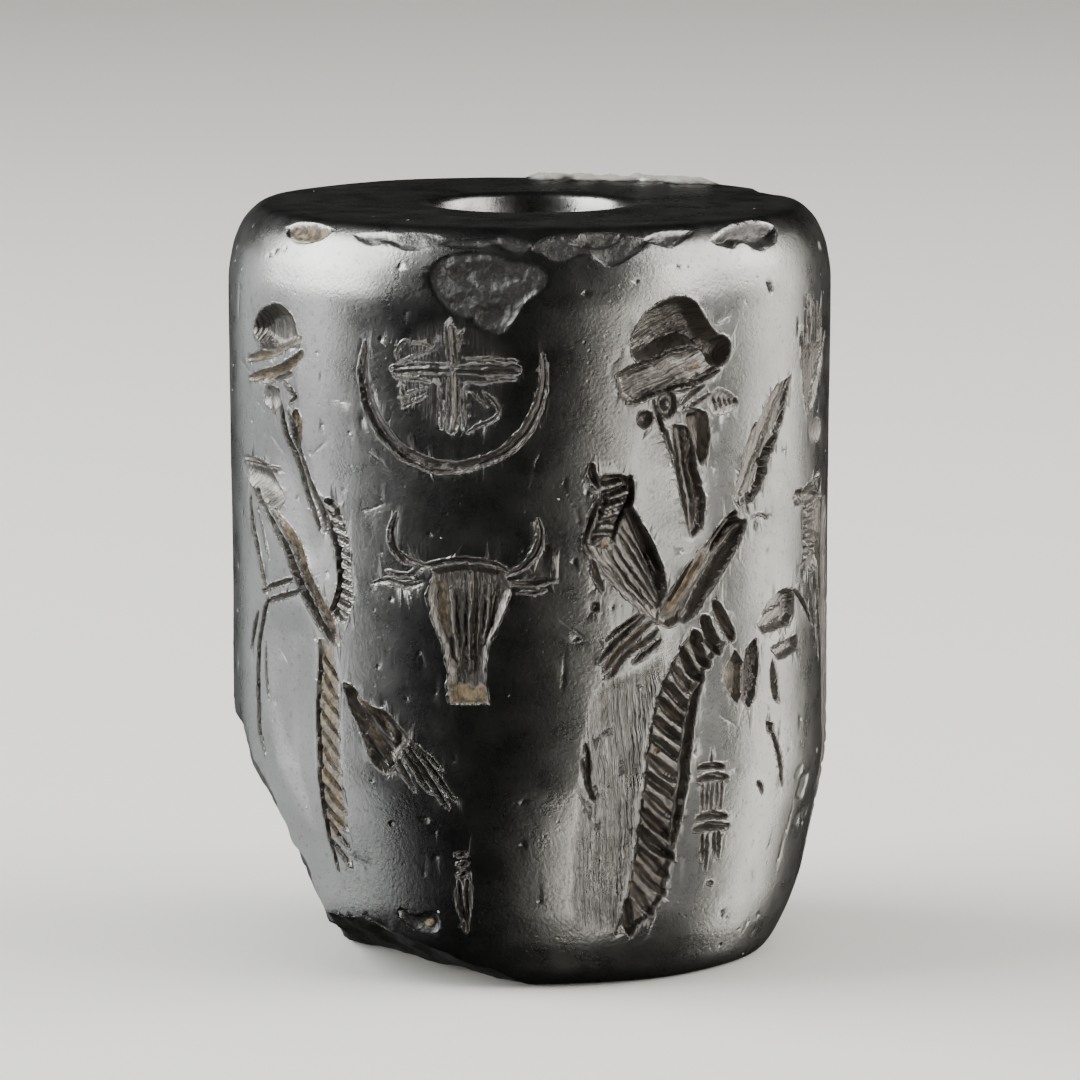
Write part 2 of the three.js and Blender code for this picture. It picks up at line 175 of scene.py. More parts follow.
def cut(places, width, depth, soil=0.0, taper=0.5, blunt=1.0, streak=0.0):
    # a tool stroke: hollow across, fading to both ends
    path = smoothPath(places, min(0.09, width / 3.5))
    share = np.linspace(0, 1, len(path))
    full = np.sin(np.pi * np.clip(share, 0.004, 0.996)) ** taper
    half = width / 2 * (0.35 + 0.65 * full)
    heading = np.gradient(path, axis=0)
    heading /= np.linalg.norm(heading, axis=1, keepdims=True)
    run = np.cumsum(np.hypot(*np.diff(path, axis=0, prepend=path[:1]).T)) + 3 * path[0].sum()
    where = block(path, width)
    across, up = placeAcross[where], placeUp[where]
    if across.size == 0:
        return
    shape, beside, onward = (np.zeros_like(across) for _ in range(3))
    for (s, z), h, f, (hs, hz), r in zip(path, half, full, heading, run):
        ds, dz = across - s, up - z
        reach = f * np.clip(1 - (ds * ds + dz * dz) / h**2, 0, 1) ** blunt
        better = reach > shape
        shape[better] = reach[better]
        beside[better] = (ds * hz - dz * hs)[better]
        onward[better] = (r + ds * hs + dz * hz)[better]
    stamp(where, shape, depth, soil, streak, beside, onward)


def stamp(where, shape, depth, soil, streak, beside, onward):
    deeper = shape * depth > depthMap[where]
    for field, value in ((depthMap, shape * depth), (besideMap, beside), (onwardMap, onward)):
        field[where] = np.where(deeper, value, field[where])
    cover = np.clip(shape * 1.6, 0, 1)
    soilMap[where] = np.maximum(soilMap[where], soil * cover)
    streakMap[where] = np.maximum(streakMap[where], streak * cover)


def turned(across, up, lean):
    # places beside and along a direction that leans from upright by some degrees
    c, s = math.cos(math.radians(lean)), math.sin(math.radians(lean))
    return across * c - up * s, across * s + up * c


def edgeDistance(outline, across, up):
    # distance to the outline, positive inside it
    distance = np.full(across.shape, 1e9)
    inside = np.zeros(across.shape, bool)
    for (s0, z0), (s1, z1) in zip(outline, np.roll(outline, -1, 0)):
        ds, dz = s1 - s0, z1 - z0
        t = np.clip(((across - s0) * ds + (up - z0) * dz) / (ds * ds + dz * dz + 1e-12), 0, 1)
        distance = np.minimum(distance, (across - s0 - t * ds) ** 2 + (up - z0 - t * dz) ** 2)
        crosses = (z0 > up) != (z1 > up)
        inside ^= crosses & (across < s0 + ds * (up - z0) / (dz if dz else 1e-9))
    return np.where(inside, 1, -1) * np.sqrt(distance)


def sink(places, depth, slope=0.2, soil=0.0, streak=0.0, bowl=0.0, sharp=False, lean=0.0):
    # a field cut down inside an outline: sides drop over `slope` and level out; bowl rounds the floor
    # towards the middle
    outline = np.array(places, float) if sharp else smoothPath(places, 0.15, closed=True)
    where = block(outline, 0.2)
    inward = edgeDistance(outline, placeAcross[where], placeUp[where])
    shape = np.sin(np.pi / 2 * np.clip(inward / slope, 0, 1))
    if bowl and inward.size:
        shape = shape * (1 - bowl + bowl * (1 - (1 - np.clip(inward / max(inward.max(), 0.1), 0, 1)) ** 2))
    stamp(where, shape, depth, soil, streak, *turned(placeAcross[where], placeUp[where], lean))


def hollow(places, centre, halfWidth, halfHeight, depth, slope=0.12, soil=0.0, turn=0.0, lean=0.0):
    # an oval bowl that stops at an outline, with steep sides where the bowl would run past it
    outline = smoothPath(places, 0.1, closed=True)
    where = block(outline, 0.2)
    across, up = placeAcross[where], placeUp[where]
    a, b = turned(across - centre[0], up - centre[1], turn)
    bowl = np.clip(1 - (a / halfWidth) ** 2 - (b / halfHeight) ** 2, 0.06, 1) ** 0.85
    shape = bowl * np.sin(np.pi / 2 * np.clip(edgeDistance(outline, across, up) / slope, 0, 1))
    stamp(where, shape, depth, soil, 0, *turned(across, up, lean))


def dent(places, width, depth):
    # a soft hollow in the polish, too gentle to read as carving
    path = smoothPath(places, width / 10)
    where = block(path, width)
    shape = np.zeros_like(placeUp[where])
    for s, z in path:
        q = ((grid[0][where] - s) ** 2 + (grid[1][where] - z) ** 2) / (width / 2) ** 2
        np.maximum(shape, np.clip(1 - q, 0, 1) ** 2, out=shape)
    dentMap[where] += shape * depth


def dentField(places, depth, slope, streak=0.0, lean=0.0):
    # a shallow polished panel with soft edges, and drag lines where streak is set
    outline = smoothPath(places, 0.15, closed=True)
    where = block(outline, 0.2)
    inward = edgeDistance(outline, placeAcross[where], placeUp[where])
    dentMap[where] += depth * smoothStep(0, slope, inward)
    streakMap[where] = np.maximum(streakMap[where], streak * smoothStep(0, 0.3, inward))
    beside, onward = turned(placeAcross[where], placeUp[where], lean)
    besideMap[where] = np.where(inward > 0, beside, besideMap[where])
    onwardMap[where] = np.where(inward > 0, onward, onwardMap[where])


def drill(centre, halfWidth, halfHeight, depth, lean=0.0, soil=0.0, ring=0.0):
    # an oval pit; with a ring, only its outer band is cut
    turn = math.radians(lean)
    where = block(np.array([centre]), max(halfWidth, halfHeight) + 0.1)
    ds, dz = placeAcross[where] - centre[0], placeUp[where] - centre[1]
    a = (ds * math.cos(turn) - dz * math.sin(turn)) / halfWidth
    b = (ds * math.sin(turn) + dz * math.cos(turn)) / halfHeight
    q = a * a + b * b
    shape = np.clip(1 - ((np.sqrt(q) - 1 + ring) / ring) ** 2, 0, 1) if ring else np.clip(1 - q, 0, 1) ** 0.8
    stamp(where, shape, depth, soil, 0, a * halfWidth, b * halfHeight)


def leave(places, width, height):
    # a ridge left standing in a sunk field
    path = smoothPath(places, width / 4)
    where = block(path, width)
    shape = np.zeros_like(placeUp[where])
    for s, z in path:
        q = ((placeAcross[where] - s) ** 2 + (placeUp[where] - z) ** 2) / (width / 2) ** 2
        np.maximum(shape, np.clip(1 - q, 0, 1) ** 0.7, out=shape)
    depthMap[where] = np.maximum(depthMap[where] - height * shape, np.minimum(depthMap[where], 0.01))


def ladder(fromEdge, toEdge, count, width, depth, soil=0.0, wobble=0.03, seed=1, taper=0.35):
    # evenly spaced strokes from one edge to the other
    a, b = smoothPath(fromEdge, 0.05), smoothPath(toEdge, 0.05)
    rng = np.random.default_rng(seed)
    for k in range(count):
        share = (k + 0.5) / count
        start = a[int(share * (len(a) - 1))] + rng.uniform(-wobble, wobble, 2)
        end = b[int(share * (len(b) - 1))] + rng.uniform(-wobble, wobble, 2)
        cut([start, end], width * rng.uniform(0.85, 1.15), depth * rng.uniform(0.8, 1.15),
            soil * rng.uniform(0.3, 1), taper)


def hatch(innerEdge, outerEdge, pitch, drops, width, depth, soil=0.0, seed=1):
    # slanting grooves from one edge down to the other; drops gives, by height, how far below its start
    # each ends
    inner, outer = smoothPath(innerEdge, 0.04), np.array(outerEdge)[::-1].T
    run = np.cumsum(np.hypot(*np.diff(inner, axis=0, prepend=inner[:1]).T))
    drops = np.array(drops)[::-1].T
    rng = np.random.default_rng(seed)
    for along in np.arange(pitch / 2, run[-1], pitch):
        s, z = inner[np.searchsorted(run, along)]
        low = z - np.interp(z, drops[1], drops[0])
        end = (np.interp(low, outer[1], outer[0]), low)
        middle = ((s + end[0]) / 2 + rng.uniform(-0.03, 0.01),
            0.46 * z + 0.54 * low + rng.uniform(-0.02, 0.02))
        cut([(s, z), middle, end], width * rng.uniform(0.8, 1.15), depth * rng.uniform(0.8, 1.2),
            soil * rng.uniform(0.2, 1), 0.3, 0.8)


def bars(places, halfLength, width, height, lean=0.0, seed=1):
    # short rounded bars left standing across a sunk strip
    rng = np.random.default_rng(seed)
    for s, z in places:
        angle = math.radians(lean + rng.uniform(-6, 6))
        reach = halfLength * rng.uniform(0.85, 1.1) * np.array((math.cos(angle), math.sin(angle)))
        leave([np.array((s, z)) - reach, np.array((s, z)) + reach], width * rng.uniform(0.9, 1.15), height)


def scratches(outline, lean, spread, length, pitch, width, depth, seed, soil=0.0):
    # parallel tool marks filling an outline, cut into whatever floor is there
    rng = np.random.default_rng(seed)
    o = np.array(outline, float)
    low, high = o.min(0), o.max(0)
    count = int((high - low).prod() / (pitch * length))
    for _ in range(count):
        centre = rng.uniform(low, high)
        if edgeDistance(o, centre[:1], centre[1:])[0] < 0.05:
            continue
        angle = math.radians(lean + rng.uniform(-spread, spread))
        half = length / 2 * rng.uniform(0.6, 1.2)
        step = np.array([math.sin(angle), math.cos(angle)]) * half
        extend = rng.uniform(0.6, 1.3)
        score([centre - step, centre + step], width * extend, depth * extend, soil * rng.uniform(0, 1))


def score(places, width, depth, soil=0.0):
    # a fine groove added to the depth already there, and kept inside what is already carved
    path = smoothPath(places, width / 3)
    where = block(path, width)
    across, up = placeAcross[where], placeUp[where]
    if across.size == 0:
        return
    shape = np.zeros_like(across)
    for k, (s, z) in enumerate(path):
        q = ((across - s) ** 2 + (up - z) ** 2) / (width / 2) ** 2
        np.maximum(shape, math.sin(math.pi * (k + 0.5) / len(path)) ** 0.5 * np.clip(1 - q, 0, 1), out=shape)
    shape = shape * smoothStep(0.03, 0.1, depthMap[where])
    depthMap[where] += shape * depth
    soilMap[where] = np.maximum(soilMap[where], soil * np.clip(shape * 1.6, 0, 1))


def fold(places, width, depth, soil=0.0, taper=0.4):
    # a deeper groove along a limb: cut below the floor it runs over
    path = np.array(places, float)
    cut(places, width, depthNear(path[len(path) // 2]) + depth, soil, taper)


def depthNear(place):
    i = min(int(np.searchsorted(around, place[0])), len(around) - 1)
    j = rowSpan(place[1] - 0.05, place[1] + 0.05)[0]
    return float(depthMap[i, j])


def leftWorshipper():
    # turned towards the middle, one arm held low, robe with a plaited hem in front
    dent([(-6.77, 12.79), (-6.45, 11.89), (-6.23, 10.93)], 1.7, 0.08)
    cap = [(-8.45, 15.86), (-8.27, 16.24), (-7.62, 16.6), (-6.99, 16.64), (-6.54, 16.34), (-6.35, 15.94),
        (-6.28, 15.7), (-7.08, 15.5), (-7.94, 15.37)]
    hollow(cap, (-7.3, 15.55), 1.5, 1.35, 0.52, 0.34, lean=8)
    scratches(cap, 8, 6, 1.2, 0.1, 0.09, 0.02, 31)
    # the cap's brim is a band between two grooves
    cut([(-8.79, 15.13), (-7.95, 15.27), (-7.08, 15.55), (-6.27, 15.9)], 0.24, 0.22, 0.7, 0.35)
    cut([(-8.73, 14.64), (-7.79, 14.84), (-6.87, 15.13), (-6.2, 15.54)], 0.26, 0.24, 0.7, 0.35)
    cut([(-7.95, 14.63), (-7.18, 14.81), (-6.59, 15.01)], 0.12, 0.14, 0.4, 0.4)
    # the head is a plain oval with a nose, an eye and a chin stroke
    drill((-7.5, 14.3), 0.42, 0.3, 0.14, 10)
    cut([(-6.95, 14.75), (-6.5, 14.45), (-6.75, 14.25)], 0.16, 0.15)
    cut([(-7.75, 14.6), (-7.6, 14.2), (-7.3, 13.9)], 0.1, 0.14)
    drill((-7.2, 14.45), 0.09, 0.08, 0.22)
    sink([(-6.62, 14.0), (-6.4, 14.1), (-6.25, 13.7), (-6.35, 13.2), (-6.5, 13.15), (-6.62, 13.5)],
        0.16, 0.12, soil=0.6)
    cut([(-7.09, 14.28), (-6.93, 13.56), (-6.56, 12.96), (-6.26, 12.4), (-5.97, 11.81), (-5.63, 11.19)],
        0.22, 0.24, 0.2, 0.35)
    cut([(-6.76, 14.07), (-6.56, 13.45), (-6.26, 12.89), (-6, 12.42), (-5.66, 11.87), (-5.39, 11.26)],
        0.14, 0.2, 0.1, 0.35)
    cut([(-6.92, 13.8), (-6.72, 13.19), (-6.41, 12.63), (-6.11, 12.05), (-5.87, 11.65)], 0.1, 0.2, 0.1, 0.35)
    cut([(-5.66, 11.97), (-5.42, 11.55), (-5.2, 11.03)], 0.12, 0.16, 0.0, 0.4)
    # shoulder hollow, upper arm and forearm
    hollow([(-9.3, 12.57), (-7.98, 12.68), (-7.43, 12.4), (-7.03, 11.83), (-7.48, 11.53), (-8.21, 11.76),
        (-8.99, 12.09)], (-7.7, 11.65), 1.6, 1.15, 0.42, 0.45, 0.06, 30, 35)
    cut([(-9.21, 12.6), (-8.2, 12.63), (-7.67, 12.54), (-7.2, 12.55)], 0.2, 0.24, 0.1)
    cut([(-7.99, 11.57), (-7.35, 11.05), (-6.91, 10.61), (-6.51, 10.04), (-6.13, 9.51), (-5.67, 8.97),
        (-5.24, 8.5)], 0.26, 0.42, 0.0, 0.3)
    cut([(-7.58, 11.57), (-6.99, 11.14), (-6.54, 10.65), (-6.2, 10.14), (-5.81, 9.6), (-5.37, 9.05),
        (-5.08, 8.47)], 0.3, 0.24, 0.75, 0.35, 0.7)
    cut([(-7.3, 11.5), (-6.7, 11.03), (-6.31, 10.53), (-5.98, 10.02), (-5.6, 9.52), (-5.18, 8.88)],
        0.1, 0.22, 0.1, 0.35)
    cut([(-8.57, 11.94), (-8.21, 11.69), (-7.78, 11.44)], 0.16, 0.3)
    cut([(-8.78, 11.71), (-8.72, 11.13), (-8.4, 10.55), (-8.12, 9.96), (-7.85, 9.45)], 0.24, 0.26, 0.1, 0.35)
    cut([(-8.39, 11.54), (-8, 10.85), (-7.69, 10.27)], 0.1, 0.1)
    cut([(-8.07, 9.45), (-7.36, 9.69), (-6.67, 9.92)], 0.11, 0.2, 0.3, 0.3)
    cut([(-7.91, 9.22), (-7.13, 9.42), (-6.43, 9.65)], 0.11, 0.2, 0.3, 0.3)
    # robe: a smooth hollow panel between a rough back edge and the hem
    dentField([(-7.7, 9.07), (-6.32, 9.39), (-5.74, 8.52), (-5.79, 6.54), (-5.73, 4.57), (-6.17, 3.65),
        (-6.96, 4.41), (-7.74, 5.41), (-8.21, 6.72), (-8.08, 8.23)], 0.1, 0.9)
    cut([(-7.8, 9.31), (-8.08, 8.73), (-8.31, 8.07), (-8.38, 7.44), (-8.39, 6.69), (-8.34, 5.95),
        (-8.06, 5.37)], 0.22, 0.24, 0.1, 0.35)
    cut([(-8.36, 8.94), (-8.62, 8.4), (-8.84, 7.87)], 0.18, 0.16, 0.1)
    cut([(-7.92, 8.25), (-7.98, 7.5), (-7.88, 6.76)], 0.1, 0.08)
    hemInner = [(-5.71, 8.52), (-5.68, 8.04), (-5.72, 7.54), (-5.76, 6.55), (-5.73, 5.56), (-5.7, 4.57),
        (-5.64, 3.59), (-5.54, 2.81)]
    hemOuter = [(-5.31, 8.57), (-5.21, 8.21), (-5.12, 7.6), (-5.09, 6.62), (-5.06, 5.88), (-5, 4.9),
        (-4.98, 3.92), (-5.05, 2.77)]
    sink(hemInner[:-1] + hemOuter[:-1][::-1], 0.05, 0.08, soil=0.62, sharp=True)
    hatch(hemInner[:-1], hemOuter, 0.47, [(0.7, 9), (0.62, 3)], 0.16, 0.2, 0.1, 41)
    cut(hemInner, 0.09, 0.16, 0.1, 0.2)
    # beaded strap hanging behind the hand
    inner = [(-5.52, 11.96), (-5.39, 11.58), (-5.23, 11.22), (-5.07, 10.8), (-5.01, 10.44), (-5.01, 10.07),
        (-5.08, 9.7), (-5.24, 9.26)]
    outer = [(-5.19, 12.01), (-4.97, 11.74), (-4.82, 11.38), (-4.7, 10.95), (-4.64, 10.59), (-4.61, 10.15),
        (-4.58, 9.81), (-4.64, 9.47), (-4.86, 9.05)]
    sink(inner + outer[::-1], 0.15, 0.1, soil=0.2)
    bars([(-5.32, 11.78), (-5.13, 11.5), (-5, 11.22), (-4.88, 10.91), (-4.85, 10.62), (-4.82, 10.36),
        (-4.79, 10.11), (-4.79, 9.87), (-4.82, 9.62), (-4.92, 9.37)], 0.17, 0.2, 0.16, -20, 43)
    cut([(-5.45, 11.69), (-5.26, 11.27), (-5.07, 10.8), (-5.01, 10.36), (-5.01, 10.02), (-5.14, 9.57),
        (-5.37, 9.15)], 0.13, 0.22, 0.1, 0.3)


def moonAndStar():
    # crescent lying on its back; above it a four-armed star, its arms sunk bars with a thin ridge down
    # the middle
    centre = np.array((-1.94, 15.3))
    dent([centre - 0.02, centre], 6.4, 0.1)
    turn = np.radians(np.linspace(163, 372, 15))
    moon = centre + 2.3 * np.stack([np.cos(turn), np.sin(turn)], 1)
    cut(moon[:9], 0.32, 0.14, 0.0, 0.35, 0.8)
    cut(moon[5:], 0.26, 0.13, 0.0, 0.45, 0.8)
    cut(centre + 2.42 * np.stack([np.cos(turn[1:9]), np.sin(turn[1:9])], 1), 0.14, 0.19, 0, 0.4)
    ring = np.linspace(0, 2 * np.pi, 24)[:-1]
    sink(list(zip(centre[0] + 1.62 * np.cos(ring), centre[1] + 1.45 * np.sin(ring))), 0.035, 0.4)
    arms = ([(-3.45, 15.32), (-2.69, 15.36), (-1.98, 15.36)],
        [(-1.83, 15.36), (-1.07, 15.38), (-0.28, 15.39)], [(-1.98, 16.42), (-1.93, 15.96), (-1.9, 15.46)],
        [(-1.9, 15.26), (-1.9, 14.59), (-1.93, 13.89)])
    for arm, width in zip(arms, (0.34, 0.36, 0.36, 0.46)):
        cut(arm, width * 0.9, 0.1, 0.0, 0.2, 0.7)
    for arm in arms:
        leave(arm, 0.09, 0.09)
    for line in (
        [(-3.37, 15.49), (-2.81, 15.67), (-2.38, 15.85), (-2.25, 16.27)],
        [(-1.68, 15.63), (-1.07, 15.65), (-0.3, 15.58)], [(-1.75, 15.8), (-1.73, 16.09), (-1.63, 16.33)],
        [(-3.45, 15.13), (-2.82, 15.09), (-2.43, 15.03)], [(-1.63, 15.03), (-1.07, 15.07), (-0.32, 15.2)],
        [(-2.28, 15.01), (-2.23, 14.5), (-2.18, 13.9)], [(-1.61, 14.98), (-1.58, 14.45), (-1.63, 13.9)],
        [(-3.26, 14.63), (-2.89, 14.79), (-2.53, 14.93)], [(-3.19, 14.39), (-2.84, 14.55), (-2.56, 14.73)],
        [(-3.37, 15.64), (-3.26, 15.89), (-3.05, 16.04)],
        [(-1.46, 14.82), (-1.24, 14.63), (-1.02, 14.47)], [(-1.19, 14.87), (-0.9, 14.64), (-0.71, 14.37)],
        [(-0.71, 14.37), (-0.95, 14.13), (-1.53, 13.83)], [(-3.26, 14.97), (-3.16, 14.68), (-3.11, 14.44)],
        [(-3, 15.95), (-2.68, 15.98), (-2.38, 15.88)],
    ):
        cut(line, 0.1, 0.07, 0.0, 0.25)


def bullHead():
    head = [
        (-2.42, 10.5), (-1.6, 10.66), (-0.7, 10.55), (-0.42, 10.1), (-0.62, 9.5), (-0.98, 8.75),
        (-1.1, 8.1), (-1.06, 7.7),
        (-1.02, 7.25), (-1.95, 7.22), (-2.06, 7.6), (-1.98, 8.0), (-2.12, 8.6), (-2.4, 9.3), (-2.55, 9.9),
    ]
    sink(head, 0.2, 0.2, soil=0.12, sharp=True)
    cut([(-2.2, 10.35), (-2.16, 9.6), (-1.98, 8.8)], 0.34, 0.28, 0.6, 0.4, 0.8)
    for top, bottom, reach, width in ((-1.86, -1.76, 8.3, 0.14), (-1.6, -1.57, 7.95, 0.15),
        (-1.36, -1.42, 7.9, 0.15), (-1.1, -1.2, 8.5, 0.14)):
        cut([(top, 10.45), ((top + bottom) / 2, (10.45 + reach) / 2), (bottom, reach)],
            width, 0.27, 0.0, 0.3)
    cut([(-0.82, 10.3), (-0.9, 9.6), (-1.08, 8.9)], 0.26, 0.27, 0.1, 0.4, 0.8)
    leave([(-1.98, 10.0), (-1.93, 9.2), (-1.82, 8.3)], 0.08, 0.12)
    leave([(-1.48, 10.4), (-1.48, 9.2), (-1.5, 8.0)], 0.08, 0.14)
    leave([(-0.98, 10.1), (-1.03, 9.5), (-1.15, 8.7)], 0.08, 0.12)
    cut([(-3.0, 10.38), (-2.45, 10.6), (-1.6, 10.76), (-0.9, 10.72), (-0.45, 10.5)], 0.13, 0.12, 0.0, 0.4)
    cut([(-3.35, 11.85), (-3.52, 11.35), (-3.42, 10.95), (-3.05, 10.68), (-2.45, 10.55)],
        0.2, 0.15, 0.0, 0.5)
    cut([(0.18, 11.8), (0.27, 11.35), (0.14, 10.95), (-0.15, 10.65), (-0.55, 10.42)], 0.17, 0.13, 0.0, 0.5)
    cut([(-4.1, 10.08), (-3.6, 10.16), (-3.0, 10.06), (-2.6, 10.2)], 0.2, 0.09, 0.05, 0.6)
    cut([(-3.6, 10.36), (-3.1, 10.34), (-2.7, 10.42)], 0.1, 0.12)
    cut([(-0.45, 10.26), (0.0, 10.22), (0.65, 10.3)], 0.16, 0.14, 0.0, 0.6)
    cut([(-0.3, 10.02), (0.1, 9.98), (0.4, 10.05)], 0.09, 0.09)
    # muzzle, packed with pale soil
    sink([(-2.05, 7.74), (-1.5, 7.66), (-1.08, 7.72), (-1.0, 7.26), (-1.95, 7.24)],
        0.2, 0.1, soil=1.0, sharp=True)
    drill((-2.14, 9.3), 0.1, 0.3, 0.3, 0, 0.9)


def creature():
    # leaf-shaped body with a forked tail, perhaps a fly or a fish
    body = [(-4.93, 7.55), (-4.59, 7.48), (-4.18, 7.08), (-3.67, 6.95), (-3.18, 6.54), (-3.02, 6.21),
        (-3.29, 5.85), (-3.56, 5.39), (-3.84, 5.46), (-4.13, 5.73), (-4.45, 6.44), (-4.78, 7.02)]
    sink(body, 0.34, 0.22, soil=0.12, bowl=0.5, lean=142)
    fold([(-4.71, 7.35), (-4.3, 6.65), (-3.79, 5.76)], 0.2, 0.08, 0.5)
    fold([(-4.65, 7.4), (-4.12, 6.91), (-3.45, 6.28)], 0.12, 0.05, 0.6)
    leave([(-4.47, 7.17), (-4.07, 6.67), (-3.56, 6.22)], 0.26, 0.2)
    leave([(-4.24, 6.34), (-3.95, 5.94), (-3.67, 5.67)], 0.16, 0.12)
    scratches(body, 142, 10, 0.9, 0.1, 0.1, 0.05, 37, 0.4)
    for line, width in (
        ([(-3.56, 6.17), (-3.24, 5.61), (-2.87, 5.04)], 0.15),
        ([(-3.4, 6.23), (-2.92, 5.63), (-2.45, 5)], 0.13),
        ([(-3.24, 6.29), (-2.66, 5.55), (-2, 4.65)], 0.15),
        ([(-3.13, 6.35), (-2.5, 5.66), (-1.82, 4.86)], 0.12),
        ([(-3.02, 6.31), (-2.6, 5.94), (-2.2, 5.62)], 0.1),
    ):
        cut(line, width, 0.18, 0.2, 0.4)


def rod():
    # three beads over a slim wedge with a groove on each side
    for z in (3.5, 3.24, 2.98):
        cut([(-1.9, z - 0.02), (-1.74, z), (-1.58, z + 0.03)], 0.14, 0.14, 0.0, 0.5)
    cut([(-1.87, 2.84), (-1.85, 2.25), (-1.79, 1.45)], 0.11, 0.16, 0, 0.4)
    cut([(-1.64, 2.86), (-1.68, 2.25), (-1.75, 1.45)], 0.1, 0.16, 0, 0.4)
    cut([(-1.98, 2.74), (-1.96, 2.3), (-1.94, 1.95)], 0.07, 0.05)
    cut([(-1.54, 2.8), (-1.56, 2.4), (-1.59, 2.05)], 0.07, 0.05)


